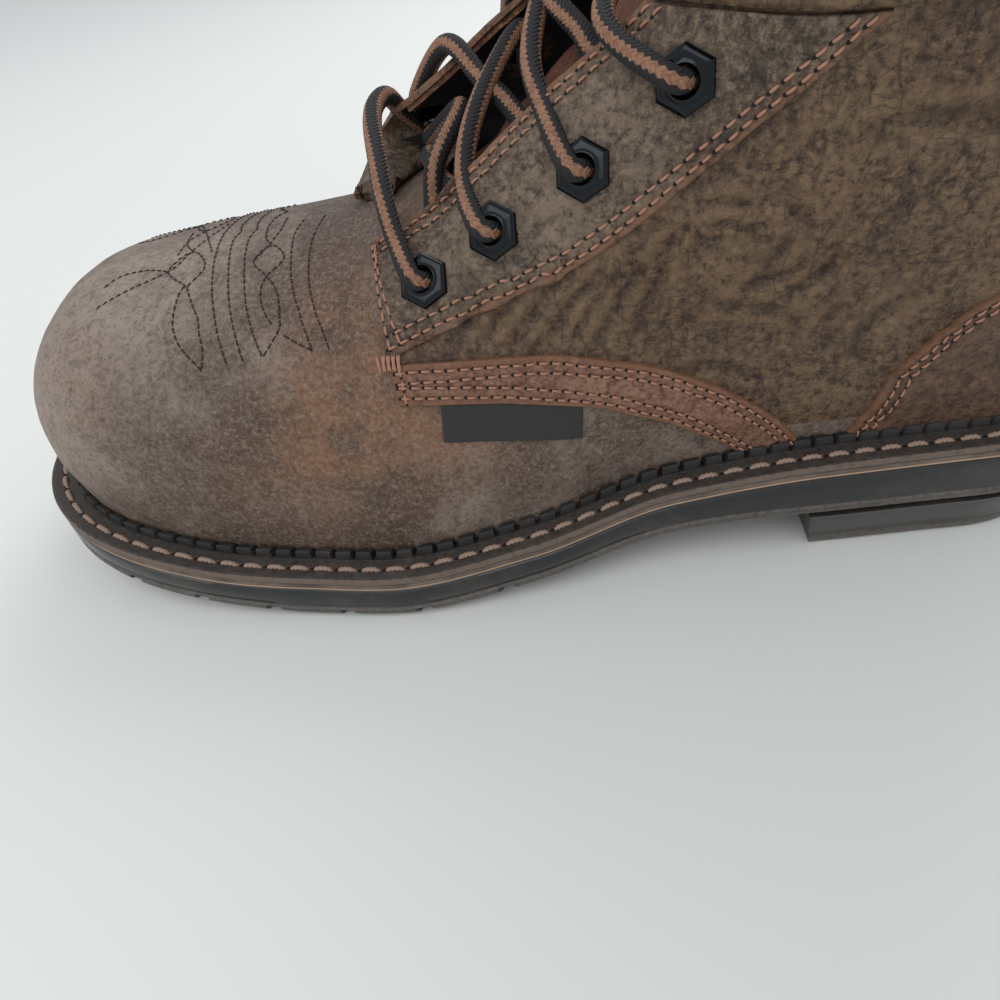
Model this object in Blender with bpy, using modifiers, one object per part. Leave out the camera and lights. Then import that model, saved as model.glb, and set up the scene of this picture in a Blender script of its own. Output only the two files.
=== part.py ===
"""Western work boot, left foot, standing empty on its sole.

A lace-up ankle-high work boot: a hollow leather upper lasted over a broad foot form, a ribbed
storm welt, midsole, treaded outsole and a separate heel block. Metres, +X to the toe, +Y to the
outer (little toe) side, +Z up; the origin is the middle of the boot's footprint on the floor.
"""
import math
from bisect import bisect_right

import bmesh
import bpy
import numpy as np
from mathutils import Matrix, Vector

# Overall sizes
LENGTH = 0.312
BALL_WIDTH = 0.111
HEEL_HEIGHT = 0.034
HEEL_STEP = 0.014
INSTEP_HEIGHT = 0.095
SHAFT_HEIGHT = 0.197
SHAFT_WIDTH = 0.088
CLEARANCE = 0.0003

# Sole stack, measured down and in from the welt's upper outer edge
LEDGE = 0.0076
RIB_WIDTH = 0.0020
RIB_HEIGHT = 0.0025
WELT_THICKNESS = 0.0021
MIDSOLE_THICKNESS = 0.0024
SOLE_EDGE_ROUND = 0.0022
HEEL_TAPER = 0.0025
FEATHER_INSET = LEDGE + RIB_WIDTH + 0.0007
INSOLE_THICKNESS = 0.0040
INSOLE_FIT = 0.0018
TREAD_DEPTH = 0.0034
GROOVE_WIDTH = 0.0042
BREAST_AT = 0.083
GROOVE_LENGTH = 0.40
GROOVE_OUT = 0.34
GROOVE_PITCH = 0.0222
GROOVE_PAIRS = 6
FIRST_GROOVE = 0.526
GROOVE_SLANT = math.radians(18)
HEEL_GROOVES = (0.36, 0.66)

# Upper
WALL = 0.0024
HEEL_ROUND = 0.038
HEEL_POWER = 2.2
TOE_ROUND = 0.052
TOE_POWER = 2.5
ARCH_POWER = 4.4
SIDE_SWELL = 0.0026
SWELL_RISE = 0.016
RIDGE_OFFSET = -0.0050
SPREAD = 0.0125
SHIN_STEEPNESS = 8.0
LEG_BLEND_LEVELS = (0.474, 1.098)
LEG_BLEND_ALONG = (0.417, 0.641)
LEG_HEEL_ROUND = 0.0060
SPREAD_LEVELS = (1.00, 1.08)
SPREAD_FADE_LEVELS = (1.40, 1.80)
MIDDLE_LEVELS = (1.20, 1.75)
WALL_SETBACK = 0.0040
OVERLAY_THICKNESS = 0.0018
CUFF_THICKNESS = 0.0036
TONGUE_THICKNESS = 0.0030
TONGUE_DROP = 0.0075
TONGUE_SEAT = 0.0012
TONGUE_LAP = 0.0070
TONGUE_RISE = 0.0120
OVERLAY_GAP = 0.0006
SEAM_GAP = 0.0006
FLAP_LIFT = 0.0045
FLAP_LIFT_ALONG = (0.620, 0.667)
FLAP_LIFT_ACROSS = (0.810, 0.360)
TAG_THICKNESS = 0.0009

# Facing and lace
EYELET_WIDTH = 0.0150
EYELET_HEIGHT = 0.0016
EYELET_HOLE = 0.0062
EYELET_SEAT = 0.0026
BARREL_WIDTH = 0.0080
LACE_WIDTH = 0.0048
LACE_FLOAT = 0.0011
LACE_TUCK = 0.0022
BAR_FLOAT = 0.0022
LACE_RISE = 0.0060

# Plan of the outsole's edge: along as a share of LENGTH, half width and centre as shares of half
# the ball's width
PLAN = (
    # along, half, centre
    (0.000, 0.660, 0.000),
    (0.128, 0.694, 0.009),
    (0.256, 0.720, 0.034),
    (0.385, 0.730, 0.072),
    (0.513, 0.847, 0.122),
    (0.641, 0.982, 0.083),
    (0.721, 1.000, 0.036),
    (0.801, 0.973, 0.018),
    (0.897, 0.900, -0.009),
    (1.000, 0.820, -0.036),
)
# Height of the welt's ledge as a share of HEEL_HEIGHT
WELT_LINE = (
    # along, height
    (0.000, 1.020),
    (0.128, 0.997),
    (0.256, 0.975),
    (0.385, 0.850),
    (0.513, 0.609),
    (0.641, 0.479),
    (0.769, 0.520),
    (0.865, 0.653),
    (0.929, 0.741),
    (1.000, 0.830),
)
# Height of the outsole's underside ahead of the heel as a share of HEEL_STEP
UNDERSIDE = (
    # along, height
    (0.000, 1.000),
    (0.272, 1.000),
    (0.320, 0.985),
    (0.359, 0.930),
    (0.426, 0.720),
    (0.474, 0.500),
    (0.529, 0.270),
    (0.590, 0.080),
    (0.630, 0.000),
    (0.700, 0.000),
    (0.769, 0.120),
    (0.865, 0.450),
    (0.929, 0.690),
    (1.000, 0.950),
)
# Loops around the upper from the welt to the collar. Each lies between a point on the heel's back
# line and one on the line over toe, instep and shin. Along is a share of LENGTH. A level of 1 is
# INSTEP_HEIGHT and 2 is SHAFT_HEIGHT. Follow is how much of the welt's curve the loop keeps.
SECTIONS = (
    # back, back_level, front, front_level, follow
    (0.0176, 0.453, 0.979, 0.400, 0.85),
    (0.0112, 0.568, 0.981, 0.526, 0.60),
    (0.0103, 0.684, 0.968, 0.653, 0.35),
    (0.0135, 0.789, 0.939, 0.763, 0.15),
    (0.0176, 0.874, 0.900, 0.852, 0.05),
    (0.0224, 0.947, 0.835, 0.902, 0.00),
    (0.0263, 1.010, 0.757, 0.933, 0.00),
    (0.0298, 1.070, 0.679, 0.958, 0.00),
    (0.0330, 1.130, 0.615, 0.995, 0.00),
    (0.0359, 1.200, 0.564, 1.093, 0.00),
    (0.0385, 1.280, 0.513, 1.225, 0.00),
    (0.0404, 1.360, 0.462, 1.358, 0.00),
    (0.0410, 1.460, 0.417, 1.485, 0.00),
    (0.0400, 1.580, 0.380, 1.637, 0.00),
    (0.0369, 1.706, 0.356, 1.800, 0.00),
    (0.0320, 1.833, 0.343, 1.980, 0.00),
)
FIRST_TOP_LOOP = 1
LAST_CLOSED_LOOP = 8
# Half width of the leg as a share of half SHAFT_WIDTH
LEG = (
    # level, half
    (0.60, 0.780),
    (1.00, 0.850),
    (1.35, 0.900),
    (1.65, 0.955),
    (2.00, 1.000),
)
# Half the throat's opening, as a share of half the ball's width
THROAT = (
    # level, half
    (0.95, 0.345),
    (1.25, 0.345),
    (1.40, 0.400),
    (1.60, 0.460),
    (2.00, 0.500),
)

# Overlay outlines in the side view
EYESTAY_LOWER = (
    # along, level
    (0.530, 0.864),
    (0.455, 0.968),
    (0.369, 1.168),
    (0.297, 1.378),
    (0.288, 1.405),
)
STRAP_LOWER = (
    # along, level
    (0.598, 0.656),
    (0.529, 0.633),
    (0.461, 0.585),
    (0.420, 0.530),
    (0.373, 0.454),
    (0.335, 0.385),
)
STRAP_UPPER = (
    # along, level
    (0.283, 0.384),
    (0.305, 0.470),
    (0.345, 0.573),
    (0.389, 0.645),
    (0.420, 0.686),
    (0.470, 0.735),
    (0.508, 0.748),
    (0.580, 0.756),
)
COUNTER_EDGE = (
    # along, level
    (0.240, 0.385),
    (0.231, 0.450),
    (0.226, 0.530),
    (0.182, 0.740),
    (0.110, 0.900),
    (0.050, 1.040),
    (-0.060, 1.090),
    (-0.060, 0.410),
)
TAG_CORNERS = (
    # along, level
    (0.574, 0.638),
    (0.576, 0.546),
    (0.464, 0.492),
    (0.463, 0.575),
    (0.529, 0.624),
)
FACING_FRONT = {1: 0.612, -1: 0.652}
FACING_FOOT_LEVEL = 0.762
STRAP_FOOT_LEVEL = 0.688
CUFF_SEAM_LEVEL = 1.415
LOWEST_UNDER_LEVEL = 1.100

# Eyelet levels on each flap, outer 1 and inner -1, and their insets from the throat's edge
EYELETS = {
    1: (0.937, 1.041, 1.158, 1.314, 1.520, 1.730),
    -1: (0.926, 1.070, 1.200, 1.355, 1.610, 1.800),
}
EYELET_PAIRS = 6
EYELET_INSETS = {1: 0.0140, -1: 0.0088}
INNER_EYELET_RISE = 0.0030

# Loop columns on each side: across the throat, then from its edge to the heel's back
THROAT_COLUMNS = 3
SIDE_COLUMNS = 16
COLUMN_CROWD = 0.20
LOOP_SAMPLES = 240
SOLE_COLUMNS = 64
HEEL_COLUMNS = 12
TONGUE_COLUMNS = 5


def smooth(table, column, at):
    """Monotone cubic through a table's rows, so that flat stretches stay flat."""
    keys = [row[0] for row in table]
    values = [row[column] for row in table]
    if at <= keys[0]:
        return values[0]
    if at >= keys[-1]:
        return values[-1]
    i = bisect_right(keys, at) - 1

    def slope(k):
        if k == 0 or k == len(keys) - 1:
            j = min(k, len(keys) - 2)
            return (values[j + 1] - values[j]) / (keys[j + 1] - keys[j])
        before = (values[k] - values[k - 1]) / (keys[k] - keys[k - 1])
        after = (values[k + 1] - values[k]) / (keys[k + 1] - keys[k])
        if before * after <= 0:
            return 0.0
        return 2 * before * after / (before + after)

    span = keys[i + 1] - keys[i]
    t = (at - keys[i]) / span
    h00 = (1 + 2 * t) * (1 - t) ** 2
    h10 = t * (1 - t) ** 2
    h01 = t * t * (3 - 2 * t)
    h11 = t * t * (t - 1)
    return (
        h00 * values[i]
        + h10 * span * slope(i)
        + h01 * values[i + 1]
        + h11 * span * slope(i + 1)
    )


def ease(value, low, high):
    t = min(max((value - low) / (high - low), 0.0), 1.0)
    return t * t * (3 - 2 * t)


def level_height(level):
    if level <= 1:
        return INSTEP_HEIGHT * level
    return INSTEP_HEIGHT + (level - 1) * (SHAFT_HEIGHT - INSTEP_HEIGHT)


def height_level(z):
    if z <= INSTEP_HEIGHT:
        return z / INSTEP_HEIGHT
    return 1 + (z - INSTEP_HEIGHT) / (SHAFT_HEIGHT - INSTEP_HEIGHT)


def welt_z(x):
    return HEEL_HEIGHT * smooth(WELT_LINE, 1, x / LENGTH)


def underside_z(x):
    return HEEL_STEP * smooth(UNDERSIDE, 1, x / LENGTH)


def round_end(distance, length, power):
    """Share of full width at a distance in from a rounded end."""
    if distance >= length:
        return 1.0
    u = 1 - max(distance, 0.0) / length
    return (1 - u**power) ** (1 / power)


def plan_centre(x):
    return BALL_WIDTH / 2 * smooth(PLAN, 2, x / LENGTH)


def plan_half(x, inset):
    """Half width of the outline that lies inset from the outsole's edge."""
    middle = BALL_WIDTH / 2 * smooth(PLAN, 1, x / LENGTH) - inset
    heel = round_end(x - inset, HEEL_ROUND - inset, HEEL_POWER)
    toe = round_end(LENGTH - inset - x, TOE_ROUND - inset, TOE_POWER)
    return middle * heel * toe


def resample(points, count, crowd=0.0):
    """Points spread along a polyline, both ends kept; crowd draws them towards the ends."""
    path = np.array(points)
    steps = np.linalg.norm(np.diff(path, axis=0), axis=1)
    run = np.concatenate([[0.0], np.cumsum(steps)])
    even = np.linspace(0.0, 1.0, count)
    marks = run[-1] * (even - crowd * np.sin(2 * np.pi * even) / (2 * np.pi))
    return np.stack([np.interp(marks, run, path[:, k]) for k in range(path.shape[1])], 1)


def outline(inset, count=SOLE_COLUMNS):
    """Closed plan outline, from the toe's middle round the outer side."""
    start, end = inset, LENGTH - inset
    halves = []
    for sign in (1, -1):
        side = []
        for k in range(LOOP_SAMPLES + 1):
            x = start + (end - start) * (1 + math.cos(math.pi * k / LOOP_SAMPLES)) / 2
            side.append((x, plan_centre(x) + sign * plan_half(x, inset)))
        halves.append(resample(side, count // 2 + 1))
    return [tuple(p) for p in halves[0]] + [tuple(p) for p in halves[1][-2:0:-1]]


# The upper's outer form

RIDGE = sorted((row[2] * LENGTH, level_height(row[3])) for row in SECTIONS[FIRST_TOP_LOOP:])
BACK = [(level_height(row[1]), row[0] * LENGTH) for row in SECTIONS]
NOSE = [(level_height(row[3]), row[2] * LENGTH) for row in SECTIONS[: FIRST_TOP_LOOP + 1]]


def spread(z):
    """How much higher the inner flap stands than the outer one."""
    level = height_level(z)
    return SPREAD * ease(level, *SPREAD_LEVELS) * (1 - ease(level, *SPREAD_FADE_LEVELS) / 2)


def ridge_z(x):
    """Height of the middle line over toe, instep and shin; it runs on above the collar."""
    if x < RIDGE[0][0]:
        return RIDGE[0][1] + (RIDGE[0][0] - x) * SHIN_STEEPNESS
    return smooth(RIDGE, 1, x)


def rise_share(x, z, side):
    """Height above the welt as a share of the way up to the middle line, 1 on that line."""
    top = ridge_z(x) + (spread(z) if side < 0 else 0.0)
    return min(max((z - welt_z(x)) / (top - welt_z(x)), 0.0), 1.0)


def half_width(x, z, side):
    """Half width of the upper's outer face at a place in the side view."""
    rise = z - welt_z(x)
    foot = BALL_WIDTH / 2 * smooth(PLAN, 1, x / LENGTH) - FEATHER_INSET
    foot += SIDE_SWELL * ease(rise, RIB_HEIGHT, SWELL_RISE)
    level = height_level(z)
    leg = SHAFT_WIDTH / 2 * smooth(LEG, 1, level)
    legness = ease(level, *LEG_BLEND_LEVELS) * (1 - ease(x / LENGTH, *LEG_BLEND_ALONG))
    width = foot * (1 - legness) + leg * legness
    heel_length = HEEL_ROUND - FEATHER_INSET + LEG_HEEL_ROUND * legness
    heel = round_end(x - heel_back(z), heel_length, HEEL_POWER)
    toe = round_end(nose_x(z) - x, TOE_ROUND - FEATHER_INSET, TOE_POWER)
    return width * heel * toe * math.sqrt(1 - rise_share(x, z, side) ** ARCH_POWER)


def heel_back(z):
    """Back of the heel, which tucks in to the welt below the first loop."""
    if z > BACK[0][0]:
        return smooth(BACK, 1, z)
    low = welt_z(0) + RIB_HEIGHT
    return FEATHER_INSET + (BACK[0][1] - FEATHER_INSET) * ease(z, low, BACK[0][0])


def nose_x(z):
    """Front of the toe, which tucks in to the welt."""
    low = welt_z(LENGTH) + RIB_HEIGHT
    if z < NOSE[0][0]:
        end = LENGTH - FEATHER_INSET
        return end + (NOSE[0][1] - end) * ease(z, low, NOSE[0][0])
    return smooth(NOSE, 1, z)


def middle_y(z):
    """Sideways place of the middle line, which comes back to the boot's centre up the shaft."""
    return RIDGE_OFFSET * (1 - ease(height_level(z), *MIDDLE_LEVELS))


def centre_y(x, z, side):
    share = rise_share(x, z, side)
    return plan_centre(x) * (1 - share) + middle_y(z) * share


def skin_y(x, z, side):
    """The upper's outer face as a height field from one side, +1 outer or -1 inner."""
    return centre_y(x, z, side) + side * half_width(x, z, side)


def throat_half(z):
    return BALL_WIDTH / 2 * smooth(THROAT, 1, height_level(z))


def welt_loop(rise, inset, side):
    """Half a loop that runs round the welt at a height above its ledge."""
    points = []
    for k in range(LOOP_SAMPLES + 1):
        across = (1 + math.cos(math.pi * k / LOOP_SAMPLES)) / 2
        x = inset + (LENGTH - 2 * inset) * across
        y = plan_centre(x) + side * plan_half(x, inset)
        points.append((x, y, welt_z(x) + rise))
    return points


def section_loop(section, side):
    """Half a loop from the middle line in front to the heel's back."""
    back_x, back_z = section[0] * LENGTH, level_height(section[1])
    front_x, front_z = section[2] * LENGTH, level_height(section[3])
    points = []
    reach = 1.25 if side < 0 else 1.0
    for k in range(LOOP_SAMPLES + 1):
        across = reach * (1 + math.cos(math.pi * k / LOOP_SAMPLES)) / 2
        x = back_x + (front_x - back_x) * across
        chord = welt_z(back_x) + (welt_z(front_x) - welt_z(back_x)) * across
        z = back_z + (front_z - back_z) * across + section[4] * (welt_z(x) - chord)
        beyond = x > front_x and (spread(z) == 0 or rise_share(x, z, side) >= 1)
        if not beyond:
            points.append((x, skin_y(x, z, side), z))
    if side < 0 and points[0][0] < front_x + CLEARANCE:
        points[0] = (front_x, skin_y(front_x, front_z, 1), front_z)
    return points


def split_at(points, offset):
    """Index of the first point that lies offset from the middle line, and that very place."""
    for k in range(1, len(points)):
        a, b = np.array(points[k - 1]), np.array(points[k])
        near, far = abs(a[1] - middle_y(a[2])), abs(b[1] - middle_y(b[2]))
        if far >= offset:
            share = 0.0 if near >= offset else (offset - near) / (far - near)
            return k, tuple(a + (b - a) * share)
    raise ValueError("the loop is narrower than the throat")


def loop_columns(points):
    """Columns of half a loop: over the throat, a strip at its edge, then back to the heel."""
    edge_half = throat_half(points[0][2])
    first, edge = split_at(points, edge_half)
    second, wall_edge = split_at(points, edge_half + WALL_SETBACK)
    over = resample(points[:first] + [edge], THROAT_COLUMNS + 1)
    back = resample([wall_edge] + points[second:], SIDE_COLUMNS + 1, COLUMN_CROWD)
    return [tuple(p) for p in over] + [tuple(p) for p in back]


def skin_grid():
    """Rows of half loops for both sides, from the feather edge to the collar."""
    rows = []
    for rise in (-WELT_THICKNESS, RIB_HEIGHT):
        rows.append([loop_columns(welt_loop(rise, FEATHER_INSET, side)) for side in (1, -1)])
    for section in SECTIONS:
        rows.append([loop_columns(section_loop(section, side)) for side in (1, -1)])
    return rows


WELT_ROWS = 2
LAST_CLOSED_ROW = LAST_CLOSED_LOOP + WELT_ROWS


def skin_mesh(name, first_open_column, rows):
    """Open surface of the upper; open rows start at the given column from the middle line."""
    bm = bmesh.new()
    last = THROAT_COLUMNS + 1 + SIDE_COLUMNS
    verts = []
    for number, (outer, inner) in enumerate(rows):
        start = 0 if number <= LAST_CLOSED_ROW else first_open_column
        left = {j: bm.verts.new(outer[j]) for j in range(start, last + 1)}
        right = {j: bm.verts.new(inner[j]) for j in range(max(start, 1), last)}
        if start == 0:
            right[0] = left[0]
        right[last] = left[last]
        verts.append((left, right))
    for number in range(len(rows) - 1):
        start = 0 if number + 1 <= LAST_CLOSED_ROW else first_open_column
        for which in (0, 1):
            low, high = verts[number][which], verts[number + 1][which]
            for j in range(start, last):
                face = [low[j], low[j + 1], high[j + 1], high[j]]
                bm.faces.new(face if which == 0 else face[::-1])
    bmesh.ops.triangulate(bm, faces=bm.faces, quad_method="FIXED")
    bm.normal_update()
    mesh = bpy.data.meshes.new(name)
    bm.to_mesh(mesh)
    bm.free()
    return mesh


# Blender helpers


def clear_scene():
    for item in list(bpy.data.objects):
        bpy.data.objects.remove(item)


def collection(name):
    made = bpy.data.collections.new(name)
    bpy.context.scene.collection.children.link(made)
    return made


def material(name, colour, roughness, metallic=0.0):
    made = bpy.data.materials.new(name)
    made.use_nodes = True
    shader = made.node_tree.nodes["Principled BSDF"]
    shader.inputs["Base Color"].default_value = (*colour, 1.0)
    shader.inputs["Roughness"].default_value = roughness
    shader.inputs["Metallic"].default_value = metallic
    return made


def outline_middle():
    edge = outline(0.0)
    return (max(p[1] for p in edge) + min(p[1] for p in edge)) / 2


FOOTPRINT_MIDDLE = outline_middle()


def add_object(name, data, home, finish=None):
    """Put mesh or curve data in the scene, moved so that the footprint's middle is the origin."""
    made = bpy.data.objects.new(name, data)
    home.objects.link(made)
    made.location = (-LENGTH / 2, -FOOTPRINT_MIDDLE, 0.0)
    if finish:
        data.materials.append(finish)
    return made


def mesh_object(name, bm, home, finish=None):
    bmesh.ops.recalc_face_normals(bm, faces=bm.faces)
    mesh = bpy.data.meshes.new(name)
    bm.to_mesh(mesh)
    bm.free()
    return add_object(name, mesh, home, finish)


def shade(piece, angle=40):
    piece.data.shade_smooth()
    piece.data.set_sharp_from_angle(angle=math.radians(angle))


def solidify(piece, thickness, outward):
    shell = piece.modifiers.new("wall", "SOLIDIFY")
    shell.thickness = thickness
    shell.offset = 1.0 if outward else -1.0
    shell.use_even_offset = True


def boolean(piece, cutter, operation):
    cut = piece.modifiers.new(operation.lower(), "BOOLEAN")
    cut.operation = operation
    cut.object = cutter
    cut.solver = "EXACT"


def make_cutter(piece):
    piece.hide_render = True
    piece.display_type = "WIRE"
    return piece


def prism(name, corners, low_y, high_y, home):
    """Cutter with a side view outline, from one depth across the boot to another."""
    bm = bmesh.new()
    near = [bm.verts.new((x, low_y, z)) for x, z in corners]
    far = [bm.verts.new((x, high_y, z)) for x, z in corners]
    bm.faces.new(near)
    bm.faces.new(far[::-1])
    for k in range(len(corners)):
        m = (k + 1) % len(corners)
        bm.faces.new((near[m], near[k], far[k], far[m]))
    return make_cutter(mesh_object(name, bm, home))


def ring_walls(bm, rings, closed=False):
    """Side faces between rings of equal count; closed joins the last ring to the first."""
    count = len(rings[0])
    pairs = list(zip(rings, rings[1:]))
    if closed:
        pairs.append((rings[-1], rings[0]))
    for low, high in pairs:
        for k in range(count):
            m = (k + 1) % count
            bm.faces.new((low[k], low[m], high[m], high[k]))


def stacked_rings(name, rings, home, finish):
    """Closed solid from rings of equal count, its ends closed by strips across the sole."""
    bm = bmesh.new()
    made = [[bm.verts.new(p) for p in ring] for ring in rings]
    ring_walls(bm, made)
    count = len(made[0])
    middle = count // 2
    for cap in (made[0], made[-1]):
        bm.faces.new((cap[0], cap[1], cap[-1]))
        for k in range(1, middle - 1):
            bm.faces.new((cap[k], cap[k + 1], cap[-k - 1], cap[-k]))
        bm.faces.new((cap[middle - 1], cap[middle], cap[middle + 1]))
    return mesh_object(name, bm, home, finish)


def ring_at(inset, height):
    return [(x, y, height(x)) for x, y in outline(inset)]


# Sole


def make_welt(home, finish):
    """Storm welt: a ledge with a raised rib along the upper, as one ring."""
    rib_top = LEDGE + RIB_WIDTH * 0.45
    profile = (
        (LEDGE + RIB_WIDTH, -WELT_THICKNESS),
        (0.0, -WELT_THICKNESS),
        (0.0, 0.0),
        (LEDGE, 0.0),
        (LEDGE, RIB_HEIGHT * 0.75),
        (rib_top, RIB_HEIGHT),
        (LEDGE + RIB_WIDTH, RIB_HEIGHT),
    )
    bm = bmesh.new()
    rings = []
    for inset, rise in profile:
        rings.append([bm.verts.new((x, y, welt_z(x) + rise)) for x, y in outline(inset)])
    ring_walls(bm, rings, closed=True)
    shade(mesh_object("welt", bm, home, finish), 30)


def midsole_top(x):
    return welt_z(x) - WELT_THICKNESS - CLEARANCE


def outsole_top(x):
    return midsole_top(x) - MIDSOLE_THICKNESS - CLEARANCE


def make_midsole(home, finish):
    low = ring_at(CLEARANCE, lambda x: outsole_top(x) + CLEARANCE)
    high = ring_at(CLEARANCE, midsole_top)
    shade(stacked_rings("midsole", [low, high], home, finish), 30)


def make_insole(home, finish):
    inset = FEATHER_INSET + WALL + INSOLE_FIT
    bottom = ring_at(inset, lambda x: midsole_top(x) + CLEARANCE)
    top = ring_at(inset, lambda x: midsole_top(x) + CLEARANCE + INSOLE_THICKNESS)
    shade(stacked_rings("insole", [bottom, top], home, finish), 30)


def make_groove_cutters(home):
    """Tread grooves ahead of the shank, a slanted pair at each place."""
    bm = bmesh.new()
    half = BALL_WIDTH * GROOVE_LENGTH / 2
    for k in range(GROOVE_PAIRS):
        x = LENGTH * FIRST_GROOVE + GROOVE_PITCH * k
        slope = math.atan2(underside_z(x + GROOVE_WIDTH) - underside_z(x), GROOVE_WIDTH)
        for side in (1, -1):
            y = plan_centre(x) + side * BALL_WIDTH * GROOVE_OUT
            place = (
                Matrix.Translation((x, y, underside_z(x)))
                @ Matrix.Rotation(-slope, 4, "Y")
                @ Matrix.Rotation(-side * GROOVE_SLANT, 4, "Z")
                @ Matrix.Diagonal((GROOVE_WIDTH, 2 * half, 2 * TREAD_DEPTH, 1.0))
            )
            bmesh.ops.create_cube(bm, size=1.0, matrix=place)
    return make_cutter(mesh_object("groove_cutters", bm, home))


def make_outsole(home, finish, cutters):
    edge = SOLE_EDGE_ROUND

    def lifted(share):
        return lambda x: underside_z(x) + edge * share * ease(x, BREAST_AT, BREAST_AT * 1.2)

    rings = [
        ring_at(edge * 2.2, underside_z),
        ring_at(edge * 0.6, lifted(0.35)),
        ring_at(0.0, lifted(1.30)),
        ring_at(0.0, outsole_top),
    ]
    outsole = stacked_rings("outsole", rings, home, finish)
    boolean(outsole, make_groove_cutters(cutters), "DIFFERENCE")
    shade(outsole, 30)


def heel_ring(inset, height):
    """The outline behind the breast, closed by a straight breast."""
    start, end = inset, BREAST_AT - inset
    halves = []
    for side in (1, -1):
        part = []
        for k in range(LOOP_SAMPLES + 1):
            x = start + (end - start) * (1 + math.cos(math.pi * k / LOOP_SAMPLES)) / 2
            part.append((x, plan_centre(x) + side * plan_half(x, inset)))
        halves.append(resample(part, HEEL_COLUMNS))
    loop = [tuple(p) for p in halves[0]] + [tuple(p) for p in halves[1][-2::-1]]
    return [(x, y, height) for x, y in loop]


def make_heel(home, finish, cutters):
    """Heel block with a chamfered foot and two cross grooves."""
    rings = [
        heel_ring(HEEL_TAPER + SOLE_EDGE_ROUND / 2, 0.0),
        heel_ring(HEEL_TAPER, SOLE_EDGE_ROUND),
        heel_ring(CLEARANCE, HEEL_STEP - CLEARANCE),
    ]
    bm = bmesh.new()
    made = [[bm.verts.new(p) for p in ring] for ring in rings]
    ring_walls(bm, made)
    bm.faces.new(made[0])
    bm.faces.new(made[-1])
    heel = mesh_object("heel", bm, home, finish)
    cut = bmesh.new()
    for along in HEEL_GROOVES:
        place = Matrix.Translation((BREAST_AT * along, 0.0, 0.0)) @ Matrix.Diagonal(
            (GROOVE_WIDTH, BALL_WIDTH * 0.45, 2 * TREAD_DEPTH, 1.0)
        )
        bmesh.ops.create_cube(cut, size=1.0, matrix=place)
    cutter = make_cutter(mesh_object("heel_groove_cutters", cut, cutters))
    boolean(heel, cutter, "DIFFERENCE")
    shade(heel, 30)


# Upper and what is stitched to it


def skin_normal(x, z, side):
    step = 0.0004
    slope_x = (skin_y(x + step, z, side) - skin_y(x - step, z, side)) / (2 * step)
    slope_z = (skin_y(x, z + step, side) - skin_y(x, z - step, side)) / (2 * step)
    return Vector((-slope_x, 1.0, -slope_z)).normalized() * side


def place_at(z, half, side):
    """How far along the outer face is half away from the middle line at a height."""
    low, high = LENGTH * 0.25, LENGTH * 0.72
    for _ in range(40):
        middle = (low + high) / 2
        offset = abs(skin_y(middle, z, side) - middle_y(z))
        low, high = (middle, high) if offset > half else (low, middle)
    return (low + high) / 2


def throat_place(z, inset, side):
    """Place on the outer face at an inset from the throat's edge, and the outward normal."""
    x = place_at(z, throat_half(z) + inset, side)
    return Vector((x, skin_y(x, z, side), z)), skin_normal(x, z, side)


def eyelet_place(number, side):
    z = level_height(EYELETS[side][number]) + (INNER_EYELET_RISE if side < 0 else 0.0)
    return throat_place(z, EYELET_INSETS[side], side)


def facing_matrix(point, normal):
    """Frame with its Z along the normal and its X up the boot."""
    x_axis = (Vector((0, 0, 1)) - normal * normal.z).normalized()
    y_axis = normal.cross(x_axis)
    turn = Matrix((x_axis, y_axis, normal)).transposed().to_4x4()
    return Matrix.Translation(point) @ turn


def side_name(side):
    return "outer" if side > 0 else "inner"


def make_hole_cutters(home, side):
    bm = bmesh.new()
    for number in range(EYELET_PAIRS):
        point, normal = eyelet_place(number, side)
        bmesh.ops.create_cone(
            bm,
            cap_ends=True,
            segments=12,
            radius1=BARREL_WIDTH / 2 + CLEARANCE,
            radius2=BARREL_WIDTH / 2 + CLEARANCE,
            depth=0.024,
            matrix=facing_matrix(point, normal),
        )
    return make_cutter(mesh_object("eyelet_hole_cutters_" + side_name(side), bm, home))


def make_upper(home, finish, rows, holes):
    upper = add_object("upper", skin_mesh("upper", THROAT_COLUMNS + 1, rows), home, finish)
    solidify(upper, WALL, outward=False)
    for cutter in holes.values():
        boolean(upper, cutter, "DIFFERENCE")
    shade(upper)


def overlay_shell(name, rows, thickness, home, finish, lift=0.0):
    """Larger form that lies just off the upper's outer face, from which an overlay is cut."""
    mesh = skin_mesh(name, THROAT_COLUMNS, rows)
    normals = [vert.normal.copy() for vert in mesh.vertices]
    for vert, normal in zip(mesh.vertices, normals):
        across = abs(vert.co.y - RIDGE_OFFSET) / (BALL_WIDTH / 2)
        raised = ease(vert.co.x / LENGTH, *FLAP_LIFT_ALONG) * ease(across, *FLAP_LIFT_ACROSS)
        vert.co += normal * (OVERLAY_GAP + lift * raised)
    shell = add_object(name, mesh, home, finish)
    solidify(shell, thickness, outward=True)
    return shell


def side_view(table):
    return [(along * LENGTH, level_height(level)) for along, level in table]


def cut_from_shell(shell, corners, depths, cutters, holes=()):
    """Keep the part of a shell inside a side view outline, then cut eyelet holes."""
    boolean(shell, prism(shell.name + "_cutter", corners, *depths, cutters), "INTERSECT")
    for cutter in holes:
        boolean(shell, cutter, "DIFFERENCE")
    shade(shell)


def one_side(side, inner=0.0):
    """Depths of a cutter that reaches one side of the boot only."""
    return RIDGE_OFFSET + side * inner, side * BALL_WIDTH


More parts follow.
